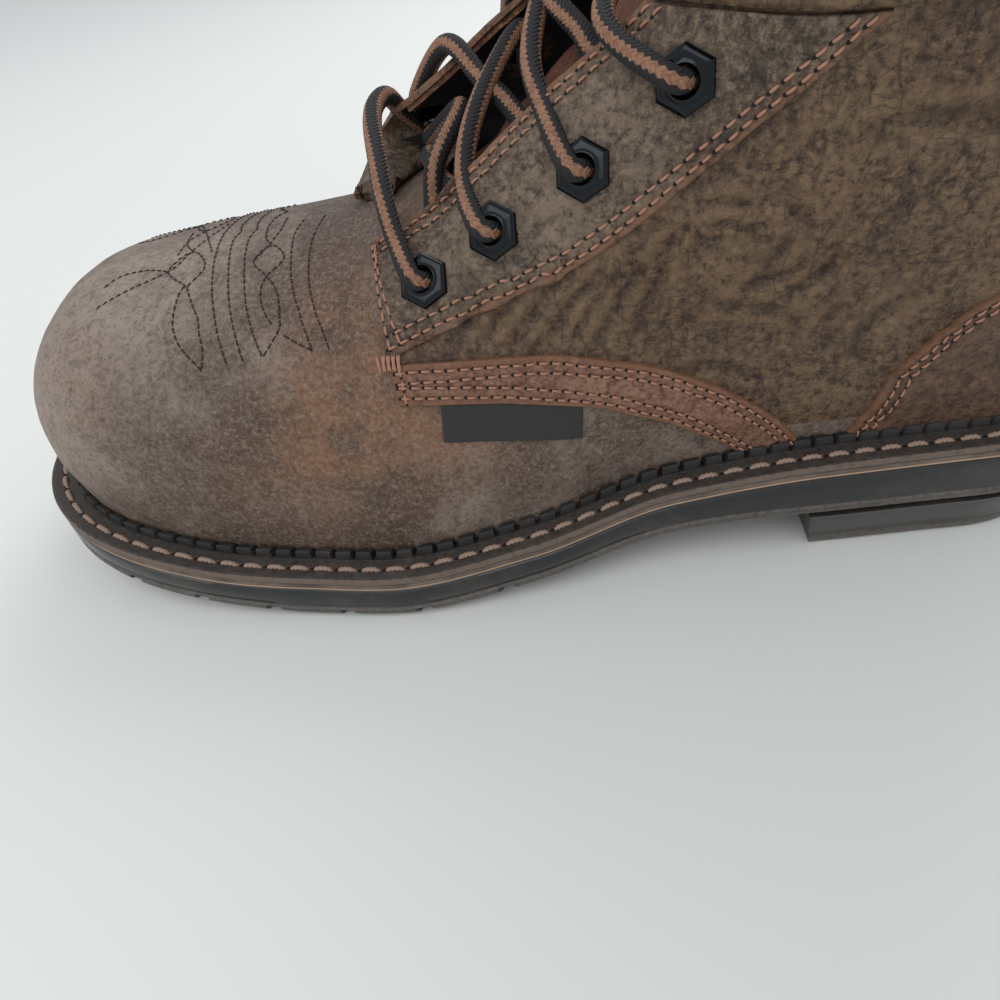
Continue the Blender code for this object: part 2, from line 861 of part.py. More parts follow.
def make_eyestay(side, rows, home, finish, cutters, holes):
    """Lower facing, from its free front edge over the vamp up to the cuff's seam."""
    front = FACING_FRONT[side] * LENGTH
    seam = level_height(CUFF_SEAM_LEVEL) - CLEARANCE
    lower = side_view(EYESTAY_LOWER)
    corners = [(front, level_height(FACING_FOOT_LEVEL))] + lower
    corners += [(lower[-1][0], seam), (front, seam)]
    name = "eyestay_" + side_name(side)
    lift = FLAP_LIFT if side < 0 else 0.0
    shell = overlay_shell(name, rows, OVERLAY_THICKNESS, home, finish, lift)
    inner = throat_half(level_height(THROAT[0][0]))
    cut_from_shell(shell, corners, one_side(side, inner), cutters, [holes[side]])


def make_strap(side, rows, home, finish, cutters):
    """Stitched lower band of the quarter, from the throat's foot back to the welt."""
    front = FACING_FRONT[side] * LENGTH
    corners = [(front, level_height(STRAP_FOOT_LEVEL))] + side_view(STRAP_LOWER)
    corners += side_view(STRAP_UPPER) + [(front, level_height(FACING_FOOT_LEVEL) - SEAM_GAP)]
    shell = overlay_shell("strap_" + side_name(side), rows, OVERLAY_THICKNESS, home, finish)
    cut_from_shell(shell, corners, one_side(side), cutters)


def make_cuff(rows, home, finish, cutters, holes):
    """Padded band round the collar; its front ends carry the top eyelets."""
    seam = level_height(CUFF_SEAM_LEVEL) + CLEARANCE
    top = SHAFT_HEIGHT * 1.2
    corners = [(LENGTH * 0.7, seam), (-LENGTH * 0.1, seam), (-LENGTH * 0.1, top), (LENGTH * 0.7, top)]
    shell = overlay_shell("cuff", rows, CUFF_THICKNESS, home, finish)
    cut_from_shell(shell, corners, (-BALL_WIDTH, BALL_WIDTH), cutters, holes.values())


def make_counter(rows, home, finish, cutters):
    shell = overlay_shell("heel_counter", rows, OVERLAY_THICKNESS, home, finish)
    cut_from_shell(shell, side_view(COUNTER_EDGE), (-BALL_WIDTH, BALL_WIDTH), cutters)


def make_side_tag(rows, home, finish, cutters):
    """Small bare cloth tag that hangs from the lower edge of the outer strap."""
    shell = overlay_shell("side_tag", rows, TAG_THICKNESS, home, finish)
    cut_from_shell(shell, side_view(TAG_CORNERS), one_side(1), cutters)


def make_tongue(home, finish):
    """Tongue under the facings: the upper's closed arch, dropped inside the wall it is sewn to."""
    bm = bmesh.new()
    grid = []
    for number, section in enumerate(SECTIONS[LAST_CLOSED_LOOP - 2 :]):
        outer = section_loop(section, 1)
        half = throat_half(outer[0][2]) + TONGUE_LAP * (2 * ease(number, 0, 2) - 1)
        cut, edge = split_at(outer, half)
        line = resample(outer[:cut] + [edge], TONGUE_COLUMNS + 1)
        grid.append([tuple(p) for p in line])
    crown = [(x - TONGUE_RISE * 0.2, y, z + TONGUE_RISE) for x, y, z in grid[-1]]
    grid.append(crown)
    verts = []
    for line in grid:
        mirrored = [(x, 2 * middle_y(z) - y, z) for x, y, z in line[:0:-1]]
        verts.append([bm.verts.new(p) for p in mirrored + line])
    for low, high in zip(verts, verts[1:]):
        for k in range(len(low) - 1):
            bm.faces.new((low[k], low[k + 1], high[k + 1], high[k]))
    bm.normal_update()
    up = [face for face in bm.faces if face.normal.x < 0]
    if len(up) > len(bm.faces) / 2:
        bmesh.ops.reverse_faces(bm, faces=bm.faces)
        bm.normal_update()
    shift = [[(vert, vert.normal.copy()) for vert in line] for line in verts]
    sewn = WALL + TONGUE_SEAT
    for number, line in enumerate(shift):
        for vert, normal in line:
            vert.co -= normal * (sewn + (TONGUE_DROP - sewn) * ease(number, 0, 2))
    mesh = bpy.data.meshes.new("tongue")
    bm.to_mesh(mesh)
    bm.free()
    tongue = add_object("tongue", mesh, home, finish)
    solidify(tongue, TONGUE_THICKNESS, outward=False)
    shade(tongue)


# Eyelets and lace


def make_eyelet(number, side, home, finish):
    """Hexagonal eyelet plate with a round hole and a barrel through the facing."""
    seat = plate_top(number, side) - EYELET_HEIGHT
    rings = (
        # radius, height, six-sided
        (EYELET_WIDTH / 2, seat, True),
        (EYELET_WIDTH / 2, seat + EYELET_HEIGHT * 0.5, True),
        (EYELET_HOLE / 2, seat + EYELET_HEIGHT, False),
        (EYELET_HOLE / 2, -WALL - CLEARANCE, False),
        (BARREL_WIDTH / 2, -WALL - CLEARANCE, False),
        (BARREL_WIDTH / 2, seat, False),
    )
    bm = bmesh.new()
    made = []
    for radius, height, six_sided in rings:
        ring = []
        for k in range(12):
            turn = 2 * math.pi * k / 12
            reach = radius * (math.cos(math.pi / 6) if six_sided and k % 2 else 1.0)
            ring.append(bm.verts.new((reach * math.cos(turn), reach * math.sin(turn), height)))
        made.append(ring)
    ring_walls(bm, made, closed=True)
    point, normal = eyelet_place(number, side)
    bmesh.ops.transform(bm, matrix=facing_matrix(point, normal), verts=bm.verts)
    name = f"eyelet_{side_name(side)}_{number + 1}"
    shade(mesh_object(name, bm, home, finish), 30)


def cord(name, points, home, finish):
    """Round cord through points, as a closed mesh."""
    curve = bpy.data.curves.new(name, "CURVE")
    curve.dimensions = "3D"
    curve.bevel_depth = LACE_WIDTH / 2
    curve.bevel_resolution = 2
    curve.use_fill_caps = True
    curve.resolution_u = 1
    curve.render_resolution_u = 0
    path = round_route(points)
    spline = curve.splines.new("POLY")
    spline.points.add(len(path) - 1)
    for target, point in zip(spline.points, path):
        target.co = (*point, 1.0)
    holder = add_object(name, curve, home)
    bpy.context.view_layer.update()
    graph = bpy.context.evaluated_depsgraph_get()
    mesh = bpy.data.meshes.new_from_object(holder.evaluated_get(graph))
    place = holder.matrix_world.copy()
    bpy.data.objects.remove(holder)
    bm = bmesh.new()
    bm.from_mesh(mesh)
    bmesh.ops.remove_doubles(bm, verts=bm.verts, dist=0.00002)
    bmesh.ops.recalc_face_normals(bm, faces=bm.faces)
    bm.to_mesh(mesh)
    bm.free()
    mesh.materials.clear()
    mesh.materials.append(finish)
    tube = bpy.data.objects.new(name, mesh)
    home.objects.link(tube)
    tube.matrix_world = place
    return tube


def round_route(points, steps=2):
    """Points read from a smooth curve through the route's own points."""
    path = [np.array(p) for p in points]
    path = [2 * path[0] - path[1]] + path + [2 * path[-1] - path[-2]]
    out = []
    for a, b, c, d in zip(path, path[1:], path[2:], path[3:]):
        for k in range(steps):
            t = k / steps
            out.append(
                0.5
                * (
                    2 * b
                    + (c - a) * t
                    + (2 * a - 5 * b + 4 * c - d) * t**2
                    + (3 * b - a - 3 * c + d) * t**3
                )
            )
    out.append(path[-2])
    return out


def plate_top(number, side):
    """Height of an eyelet plate's top above the upper's outer face."""
    layer = CUFF_THICKNESS if EYELETS[side][number] > CUFF_SEAM_LEVEL else OVERLAY_THICKNESS
    return OVERLAY_GAP + layer + EYELET_SEAT + EYELET_HEIGHT


def lace_over(number, side, gap=LACE_FLOAT):
    """Lace from just clear of an eyelet's plate to just over the throat's edge."""
    point, normal = eyelet_place(number, side)
    edge, edge_normal = throat_place(point.z + LACE_WIDTH, 0.0, side)
    clear = plate_top(number, side) + LACE_WIDTH / 2 + gap
    return [point + normal * clear, edge + edge_normal * clear]


def lace_under(number, side):
    """End of a lace that runs in under a facing's edge."""
    z = max(eyelet_place(number, side)[0].z, level_height(LOWEST_UNDER_LEVEL))
    edge, normal = throat_place(z, 0.0, side)
    return [edge + Vector((0.0, -side * LACE_WIDTH, 0.0)) - normal * LACE_TUCK]


def over_middle(points):
    """Middle of a crossing, held clear above the tongue."""
    total = Vector((0.0, 0.0, 0.0))
    for point in points:
        total += point
    away = Vector((1.0, 0.0, 0.8)).normalized()
    return total / len(points) + away * LACE_RISE


def make_laces(home, finish, cutters):
    """A bar at the foot of the throat, then one crossing between each two pairs of eyelets."""
    near, far = lace_over(0, 1, BAR_FLOAT), lace_over(0, -1, BAR_FLOAT)
    cord("lace_bar", near + [over_middle([near[1], far[1]])] + far[::-1], home, finish)
    for number in range(EYELET_PAIRS - 1):
        begin = lace_under if number == 0 else lace_over
        starts = {side: begin(number, side) for side in (1, -1)}
        ends = {side: lace_under(number + 1, -side) for side in (1, -1)}
        middle = over_middle([starts[1][-1], starts[-1][-1], ends[1][0], ends[-1][0]])
        routes = {side: starts[side] + [middle] + ends[side] for side in (1, -1)}
        strand = cord(f"lace_crossing_{number + 1}", routes[1], home, finish)
        other = make_cutter(cord(f"lace_strand_{number + 1}", routes[-1], cutters, finish))
        boolean(strand, other, "UNION")


def main():
    clear_scene()
    boot = collection("work_boot")
    cutters = collection("cutters")
    vamp_leather = material("vamp_leather", (0.15, 0.085, 0.055), 0.62)
    quarter_leather = material("quarter_leather", (0.10, 0.065, 0.045), 0.60)
    strap_leather = material("strap_leather", (0.20, 0.085, 0.060), 0.60)
    tongue_leather = material("tongue_leather", (0.15, 0.055, 0.040), 0.65)
    black_rubber = material("black_rubber", (0.02, 0.021, 0.023), 0.55)
    midsole_rubber = material("midsole_rubber", (0.20, 0.15, 0.125), 0.70)
    insole_foam = material("insole_foam", (0.03, 0.03, 0.03), 0.90)
    eyelet_metal = material("eyelet_metal", (0.02, 0.02, 0.022), 0.25, 0.8)
    lace_cord = material("lace_cord", (0.08, 0.05, 0.045), 0.85)
    tag_cloth = material("tag_cloth", (0.012, 0.012, 0.012), 0.90)

    rows = skin_grid()
    holes = {side: make_hole_cutters(cutters, side) for side in (1, -1)}
    make_outsole(boot, black_rubber, cutters)
    make_heel(boot, black_rubber, cutters)
    make_midsole(boot, midsole_rubber)
    make_welt(boot, black_rubber)
    make_insole(boot, insole_foam)
    make_upper(boot, vamp_leather, rows, holes)
    make_tongue(boot, tongue_leather)
    for side in (1, -1):
        make_eyestay(side, rows, boot, quarter_leather, cutters, holes)
        make_strap(side, rows, boot, strap_leather, cutters)
        for number in range(EYELET_PAIRS):
            make_eyelet(number, side, boot, eyelet_metal)
    make_cuff(rows, boot, quarter_leather, cutters, holes)
    make_counter(rows, boot, quarter_leather, cutters)
    make_side_tag(rows, boot, tag_cloth, cutters)
    make_laces(boot, lace_cord, cutters)


main()
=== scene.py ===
"""Looks of the western work boot: a left lace-up boot, seen from its outer side and above.

Fine surfaces are worked out from the same forms as the solids. Places are in metres, with X from
the heel's back and Y from the plan line, and place() moves them to the part's own frame.
"""

import math
from bisect import bisect_right

import bmesh
import bpy
import numpy as np
from mathutils import Matrix, Vector, noise
from mathutils.bvhtree import BVHTree


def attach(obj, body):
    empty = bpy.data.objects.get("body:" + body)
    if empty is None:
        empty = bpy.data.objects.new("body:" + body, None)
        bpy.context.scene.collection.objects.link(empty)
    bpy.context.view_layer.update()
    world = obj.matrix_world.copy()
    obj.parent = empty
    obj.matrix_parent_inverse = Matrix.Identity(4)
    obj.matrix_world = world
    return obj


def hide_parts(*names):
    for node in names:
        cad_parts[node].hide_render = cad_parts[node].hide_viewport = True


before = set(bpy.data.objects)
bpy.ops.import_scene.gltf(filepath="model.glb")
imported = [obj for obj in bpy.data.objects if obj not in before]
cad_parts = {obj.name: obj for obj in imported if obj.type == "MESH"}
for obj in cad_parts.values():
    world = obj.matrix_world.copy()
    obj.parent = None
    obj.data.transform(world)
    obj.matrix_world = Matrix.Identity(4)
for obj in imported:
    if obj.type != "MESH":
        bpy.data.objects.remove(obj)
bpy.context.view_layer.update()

# Sizes and form tables, as in the solids
# Overall sizes
LENGTH = 0.312
BALL_WIDTH = 0.111
HEEL_HEIGHT = 0.034
HEEL_STEP = 0.014
INSTEP_HEIGHT = 0.095
SHAFT_HEIGHT = 0.197
SHAFT_WIDTH = 0.088
CLEARANCE = 0.0003

# Sole stack, measured down and in from the welt's upper outer edge
LEDGE = 0.0076
RIB_WIDTH = 0.0020
RIB_HEIGHT = 0.0025
WELT_THICKNESS = 0.0021
MIDSOLE_THICKNESS = 0.0024
HEEL_TAPER = 0.0025
FEATHER_INSET = LEDGE + RIB_WIDTH + 0.0007
TREAD_DEPTH = 0.0034
GROOVE_WIDTH = 0.0042
BREAST_AT = 0.083
GROOVE_LENGTH = 0.40
GROOVE_OUT = 0.34
GROOVE_PITCH = 0.0222
GROOVE_PAIRS = 6
FIRST_GROOVE = 0.526
GROOVE_SLANT = math.radians(18)
HEEL_GROOVES = (0.36, 0.66)

# Upper
HEEL_ROUND = 0.038
HEEL_POWER = 2.2
TOE_ROUND = 0.052
TOE_POWER = 2.5
ARCH_POWER = 4.4
SIDE_SWELL = 0.0026
SWELL_RISE = 0.016
RIDGE_OFFSET = -0.0050
SPREAD = 0.0180
SHIN_STEEPNESS = 8.0
LEG_BLEND_LEVELS = (0.474, 1.098)
LEG_BLEND_ALONG = (0.417, 0.641)
LEG_HEEL_ROUND = 0.0060
SPREAD_LEVELS = (1.00, 1.08)
SPREAD_FADE_LEVELS = (1.40, 1.80)
MIDDLE_LEVELS = (1.20, 1.75)
TONGUE_THICKNESS = 0.0030
TONGUE_DROP = 0.0075
TONGUE_SEAT = 0.0012
TONGUE_RISE = 0.0120
FLAP_LIFT = 0.0045
FLAP_LIFT_ALONG = (0.620, 0.667)
FLAP_LIFT_ACROSS = (0.810, 0.360)

# Facing and lace
EYELET_WIDTH = 0.0150
LACE_WIDTH = 0.0048

# Plan of the outsole's edge: along as a share of LENGTH, half width and centre as shares of half
# the ball's width
PLAN = (
    # along, half, centre
    (0.0, 0.66, 0.0), (0.128, 0.694, 0.009), (0.256, 0.72, 0.034), (0.385, 0.73, 0.072),
    (0.513, 0.847, 0.122), (0.641, 0.982, 0.083), (0.721, 1.0, 0.036), (0.801, 0.973, 0.018),
    (0.897, 0.9, -0.009), (1.0, 0.82, -0.036),
)
# Height of the welt's ledge as a share of HEEL_HEIGHT
WELT_LINE = (
    # along, height
    (0.0, 1.02), (0.128, 0.997), (0.256, 0.975), (0.385, 0.85), (0.513, 0.609), (0.641, 0.479),
    (0.769, 0.52), (0.865, 0.653), (0.929, 0.741), (1.0, 0.83),
)
# Height of the outsole's underside ahead of the heel as a share of HEEL_STEP
UNDERSIDE = (
    # along, height
    (0.0, 1.0), (0.272, 1.0), (0.32, 0.985), (0.359, 0.93), (0.426, 0.72), (0.474, 0.5),
    (0.529, 0.27), (0.59, 0.08), (0.63, 0.0), (0.7, 0.0), (0.769, 0.12), (0.865, 0.45),
    (0.929, 0.69), (1.0, 0.95),
)
# Loops around the upper from the welt to the collar. Each lies between a point on the heel's back
# line and one on the line over toe, instep and shin. Along is a share of LENGTH. A level of 1 is
# INSTEP_HEIGHT and 2 is SHAFT_HEIGHT. Follow is how much of the welt's curve the loop keeps.
SECTIONS = (
    # back, back_level, front, front_level, follow
    (0.0176, 0.453, 0.979, 0.4, 0.85), (0.0112, 0.568, 0.981, 0.526, 0.6),
    (0.0103, 0.684, 0.968, 0.653, 0.35), (0.0135, 0.789, 0.939, 0.763, 0.15),
    (0.0176, 0.874, 0.9, 0.852, 0.05), (0.0224, 0.947, 0.835, 0.902, 0.0),
    (0.0263, 1.01, 0.757, 0.933, 0.0), (0.0298, 1.07, 0.679, 0.958, 0.0),
    (0.033, 1.13, 0.615, 0.995, 0.0), (0.0359, 1.2, 0.564, 1.093, 0.0),
    (0.0385, 1.28, 0.513, 1.225, 0.0), (0.0404, 1.36, 0.462, 1.358, 0.0),
    (0.041, 1.46, 0.417, 1.485, 0.0), (0.04, 1.58, 0.38, 1.637, 0.0),
    (0.0369, 1.706, 0.356, 1.8, 0.0), (0.032, 1.833, 0.343, 1.98, 0.0),
)
FIRST_TOP_LOOP = 1
LAST_CLOSED_LOOP = 8
# Half width of the leg as a share of half SHAFT_WIDTH
LEG = (
    # level, half
    (0.6, 0.78), (1.0, 0.85), (1.35, 0.9), (1.65, 0.955), (2.0, 1.0),
)
# Half the throat's opening, as a share of half the ball's width
THROAT = (
    # level, half
    (0.95, 0.345), (1.25, 0.345), (1.4, 0.4), (1.6, 0.46), (2.0, 0.5),
)

# Overlay outlines in the side view
EYESTAY_LOWER = (
    # along, level
    (0.53, 0.864), (0.455, 0.968), (0.369, 1.168), (0.297, 1.378), (0.288, 1.405),
)
STRAP_LOWER = (
    # along, level
    (0.598, 0.656), (0.529, 0.633), (0.461, 0.585), (0.42, 0.53), (0.373, 0.454), (0.335, 0.385),
)
STRAP_UPPER = (
    # along, level
    (0.283, 0.384), (0.305, 0.47), (0.345, 0.573), (0.389, 0.645), (0.42, 0.686), (0.47, 0.735),
    (0.508, 0.748), (0.58, 0.756),
)
FACING_FRONT = {1: 0.612, -1: 0.652}
FACING_FOOT_LEVEL = 0.762
CUFF_SEAM_LEVEL = 1.415

# Eyelet levels on each flap, outer 1 and inner -1, and their insets from the throat's edge
EYELET_INSETS = {1: 0.0140, -1: 0.0088}
INNER_EYELET_RISE = 0.0030

# Samples of a half loop, and columns of the plan outline
LOOP_SAMPLES = 240
SOLE_COLUMNS = 64


def smooth(table, column, at):
    """Monotone cubic through a table's rows, so that flat stretches stay flat."""
    keys = [row[0] for row in table]
    values = [row[column] for row in table]
    if at <= keys[0]:
        return values[0]
    if at >= keys[-1]:
        return values[-1]
    i = bisect_right(keys, at) - 1

    def slope(k):
        if k == 0 or k == len(keys) - 1:
            j = min(k, len(keys) - 2)
            return (values[j + 1] - values[j]) / (keys[j + 1] - keys[j])
        before = (values[k] - values[k - 1]) / (keys[k] - keys[k - 1])
        after = (values[k + 1] - values[k]) / (keys[k + 1] - keys[k])
        if before * after <= 0:
            return 0.0
        return 2 * before * after / (before + after)

    span = keys[i + 1] - keys[i]
    t = (at - keys[i]) / span
    h00 = (1 + 2 * t) * (1 - t) ** 2
    h10 = t * (1 - t) ** 2
    h01 = t * t * (3 - 2 * t)
    h11 = t * t * (t - 1)
    return (
        h00 * values[i]
        + h10 * span * slope(i)
        + h01 * values[i + 1]
        + h11 * span * slope(i + 1)
    )


def ease(value, low, high):
    t = min(max((value - low) / (high - low), 0.0), 1.0)
    return t * t * (3 - 2 * t)


def level_height(level):
    if level <= 1:
        return INSTEP_HEIGHT * level
    return INSTEP_HEIGHT + (level - 1) * (SHAFT_HEIGHT - INSTEP_HEIGHT)


def height_level(z):
    if z <= INSTEP_HEIGHT:
        return z / INSTEP_HEIGHT
    return 1 + (z - INSTEP_HEIGHT) / (SHAFT_HEIGHT - INSTEP_HEIGHT)


def welt_z(x):
    return HEEL_HEIGHT * smooth(WELT_LINE, 1, x / LENGTH)


def underside_z(x):
    return HEEL_STEP * smooth(UNDERSIDE, 1, x / LENGTH)


def round_end(distance, length, power):
    """Share of full width at a distance in from a rounded end."""
    if distance >= length:
        return 1.0
    u = 1 - max(distance, 0.0) / length
    return (1 - u**power) ** (1 / power)


def plan_centre(x):
    return BALL_WIDTH / 2 * smooth(PLAN, 2, x / LENGTH)


def plan_half(x, inset):
    """Half width of the outline that lies inset from the outsole's edge."""
    middle = BALL_WIDTH / 2 * smooth(PLAN, 1, x / LENGTH) - inset
    heel = round_end(x - inset, HEEL_ROUND - inset, HEEL_POWER)
    toe = round_end(LENGTH - inset - x, TOE_ROUND - inset, TOE_POWER)
    return middle * heel * toe


def unit(vectors):
    return vectors / np.linalg.norm(vectors, axis=-1, keepdims=True)


def run_along(path):
    """Distances along a polyline from its start to each of its points."""
    return np.concatenate([[0.0], np.cumsum(np.linalg.norm(np.diff(path, axis=0), axis=1))])


def at_marks(marks, run, values):
    """Values of a polyline's points, read at other distances along it."""
    return np.stack([np.interp(marks, run, values[:, k]) for k in range(values.shape[1])], 1)


def resample(points, count, crowd=0.0):
    """Points spread along a polyline, both ends kept; crowd draws them towards the ends."""
    path = np.array(points)
    run = run_along(path)
    even = np.linspace(0.0, 1.0, count)
    marks = run[-1] * (even - crowd * np.sin(2 * np.pi * even) / (2 * np.pi))
    return at_marks(marks, run, path)


def plan_side(inset, side, end=None, count=LOOP_SAMPLES):
    """Half the outline that lies inset from the outsole's edge, front to back."""
    reach = (LENGTH - inset if end is None else end) - inset
    points = []
    for k in range(count + 1):
        x = inset + reach * (1 + math.cos(math.pi * k / count)) / 2
        points.append((x, plan_centre(x) + side * plan_half(x, inset)))
    return points


# The upper's outer form

RIDGE = sorted((row[2] * LENGTH, level_height(row[3])) for row in SECTIONS[FIRST_TOP_LOOP:])
BACK = [(level_height(row[1]), row[0] * LENGTH) for row in SECTIONS]
NOSE = [(level_height(row[3]), row[2] * LENGTH) for row in SECTIONS[: FIRST_TOP_LOOP + 1]]


def spread(z):
    """How much higher the inner flap stands than the outer one."""
    level = height_level(z)
    return SPREAD * ease(level, *SPREAD_LEVELS) * (1 - ease(level, *SPREAD_FADE_LEVELS) / 2)


def ridge_z(x):
    """Height of the middle line over toe, instep and shin; it runs on above the collar."""
    if x < RIDGE[0][0]:
        return RIDGE[0][1] + (RIDGE[0][0] - x) * SHIN_STEEPNESS
    return smooth(RIDGE, 1, x)


def rise_share(x, z, side):
    """Height above the welt as a share of the way up to the middle line, 1 on that line."""
    top = ridge_z(x) + (spread(z) if side < 0 else 0.0)
    return min(max((z - welt_z(x)) / (top - welt_z(x)), 0.0), 1.0)


def half_width(x, z, side):
    """Half width of the upper's outer face at a place in the side view."""
    rise = z - welt_z(x)
    foot = BALL_WIDTH / 2 * smooth(PLAN, 1, x / LENGTH) - FEATHER_INSET
    foot += SIDE_SWELL * ease(rise, RIB_HEIGHT, SWELL_RISE)
    level = height_level(z)
    leg = SHAFT_WIDTH / 2 * smooth(LEG, 1, level)
    legness = ease(level, *LEG_BLEND_LEVELS) * (1 - ease(x / LENGTH, *LEG_BLEND_ALONG))
    width = foot * (1 - legness) + leg * legness
    heel_length = HEEL_ROUND - FEATHER_INSET + LEG_HEEL_ROUND * legness
    heel = round_end(x - heel_back(z), heel_length, HEEL_POWER)
    toe = round_end(nose_x(z) - x, TOE_ROUND - FEATHER_INSET, TOE_POWER)
    return width * heel * toe * math.sqrt(1 - rise_share(x, z, side) ** ARCH_POWER)


def heel_back(z):
    """Back of the heel, which tucks in to the welt below the first loop."""
    if z > BACK[0][0]:
        return smooth(BACK, 1, z)
    low = welt_z(0) + RIB_HEIGHT
    return FEATHER_INSET + (BACK[0][1] - FEATHER_INSET) * ease(z, low, BACK[0][0])


def nose_x(z):
    """Front of the toe, which tucks in to the welt."""
    low = welt_z(LENGTH) + RIB_HEIGHT
    if z < NOSE[0][0]:
        end = LENGTH - FEATHER_INSET
        return end + (NOSE[0][1] - end) * ease(z, low, NOSE[0][0])
    return smooth(NOSE, 1, z)


def middle_y(z):
    """Sideways place of the middle line, which comes back to the boot's centre up the shaft."""
    return RIDGE_OFFSET * (1 - ease(height_level(z), *MIDDLE_LEVELS))


def centre_y(x, z, side):
    share = rise_share(x, z, side)
    return plan_centre(x) * (1 - share) + middle_y(z) * share


def skin_y(x, z, side):
    """The upper's outer face as a height field from one side, +1 outer or -1 inner."""
    return centre_y(x, z, side) + side * half_width(x, z, side)


def throat_half(z):
    return BALL_WIDTH / 2 * smooth(THROAT, 1, height_level(z))


def welt_loop(rise, inset, side):
    """Half a loop that runs round the welt at a height above its ledge."""
    return [(x, y, welt_z(x) + rise) for x, y in plan_side(inset, side)]


def section_loop(section, side):
    """Half a loop from the middle line in front to the heel's back."""
    back_x, back_z = section[0] * LENGTH, level_height(section[1])
    front_x, front_z = section[2] * LENGTH, level_height(section[3])
    points = []
    reach = 1.25 if side < 0 else 1.0
    for k in range(LOOP_SAMPLES + 1):
        across = reach * (1 + math.cos(math.pi * k / LOOP_SAMPLES)) / 2
        x = back_x + (front_x - back_x) * across
        chord = welt_z(back_x) + (welt_z(front_x) - welt_z(back_x)) * across
        z = back_z + (front_z - back_z) * across + section[4] * (welt_z(x) - chord)
        beyond = x > front_x and (spread(z) == 0 or rise_share(x, z, side) >= 1)
        if not beyond:
            points.append((x, skin_y(x, z, side), z))
    if side < 0 and points[0][0] < front_x + CLEARANCE:
        points[0] = (front_x, skin_y(front_x, front_z, 1), front_z)
    return points


def split_at(points, offset):
    """Index of the first point that lies offset from the middle line, and that very place."""
    for k in range(1, len(points)):
        a, b = np.array(points[k - 1]), np.array(points[k])
        near, far = abs(a[1] - middle_y(a[2])), abs(b[1] - middle_y(b[2]))
        if far >= offset:
            share = 0.0 if near >= offset else (offset - near) / (far - near)
            return k, tuple(a + (b - a) * share)
    raise ValueError("the loop is narrower than the throat")


def midsole_top(x):
    return welt_z(x) - WELT_THICKNESS - CLEARANCE


def outsole_top(x):
    return midsole_top(x) - MIDSOLE_THICKNESS - CLEARANCE


# Fine forms of the upper

ROWS_PER_SECTION = 12
WELT_STEPS = 9
OVER_COLUMNS = 30
BACK_COLUMNS = 300
SIDE_COUNT = OVER_COLUMNS + BACK_COLUMNS
EDGE_SETBACK = 0.0008
SHEET_WALL = 0.0017
THROAT_FOOT = (0.195, -0.003, 0.092)
# Middle of the outsole's width, from points as far apart as those of the solids
edge_points = np.concatenate([
    resample(plan_side(0.0, side), SOLE_COLUMNS // 2 + 1) for side in (1, -1)
])
FOOTPRINT_MIDDLE = (edge_points[:, 1].max() + edge_points[:, 1].min()) / 2


def place(points):
    """Move points from the heel's back and the plan line to the part's own frame."""
    out = np.array(points, dtype=float)
    out[..., 0] -= LENGTH / 2
    out[..., 1] -= FOOTPRINT_MIDDLE
    return out


def ridge_x(z):
    """Place along the boot where the middle line over toe, instep and shin has a height."""
    low, high = LENGTH * 0.343, LENGTH * 0.985
    for _ in range(40):
        middle = (low + high) / 2
        low, high = (middle, high) if ridge_z(middle) > z else (low, middle)
    return (low + high) / 2


def section_at(number):
    """A loop between the tabled ones, its ends held on the heel's back and the middle line."""
    keys = [(k, *row) for k, row in enumerate(SECTIONS)]
    back_x, back, front_x, front, follow = (smooth(keys, c, number) for c in range(1, 6))
    back_x = heel_back(level_height(back)) / LENGTH
    if number > FIRST_TOP_LOOP:
        front = height_level(ridge_z(front_x * LENGTH))
    else:
        front_x = nose_x(level_height(front)) / LENGTH
    return back_x, back, front_x, front, follow


def half_row(points):
    """Columns of half a loop, evenly over the throat and then back to the heel."""
    edge_half = throat_half(points[0][2]) + EDGE_SETBACK
    first, edge = split_at(points, edge_half)
    over = resample(points[:first] + [edge], OVER_COLUMNS + 1)
    back = resample([edge] + points[first:], BACK_COLUMNS + 1, 0.10)
    return np.concatenate([over, back[1:]])


def base_rows():
    """Rows round the whole upper from the feather edge up, heel to heel by way of the toe."""
    rows = []
    low = [half_row(welt_loop(-WELT_THICKNESS, FEATHER_INSET, side)) for side in (1, -1)]
    high = [half_row(section_loop(section_at(0), side)) for side in (1, -1)]
    for step in range(WELT_STEPS):
        share = step / WELT_STEPS
        rows.append([low[k] * (1 - share) + high[k] * share for k in (0, 1)])
    count = (len(SECTIONS) - 1) * ROWS_PER_SECTION
    for k in range(count + 1):
        section = section_at(k / ROWS_PER_SECTION)
        rows.append([half_row(section_loop(section, side)) for side in (1, -1)])
    return np.array([np.concatenate([inner[:0:-1], outer]) for outer, inner in rows])


CLOSED_ROWS = WELT_STEPS + LAST_CLOSED_LOOP * ROWS_PER_SECTION
MIDDLE = SIDE_COUNT


def near(points, centre, reach):
    """Share from 1 at a centre down to 0 away from it."""
    gap = np.linalg.norm(points - np.array(centre), axis=-1)
    return np.exp(-((gap / reach) ** 2))


def settle(grid):
    """Even out the loft, most where the vamp turns up into the throat."""
    out = grid.copy()
    weight = 0.25 + 0.75 * near(grid, THROAT_FOOT, 0.034)
    columns = np.abs(np.arange(grid.shape[1]) - MIDDLE)
    weight[CLOSED_ROWS - 2 :, columns < OVER_COLUMNS + 5] = 0.0
    weight[:2] = 0.0
    weight[-1:] = 0.0
    for _ in range(26):
        ring = np.concatenate([out[:, -2:-1], out, out[:, 1:2]], axis=1)
        mean = (ring[:, :-2] + ring[:, 2:]) / 2
        mean[1:-1] = (mean[1:-1] + (out[:-2] + out[2:]) / 2) / 2
        out += (mean - out) * (weight * 0.7)[..., None]
    return out


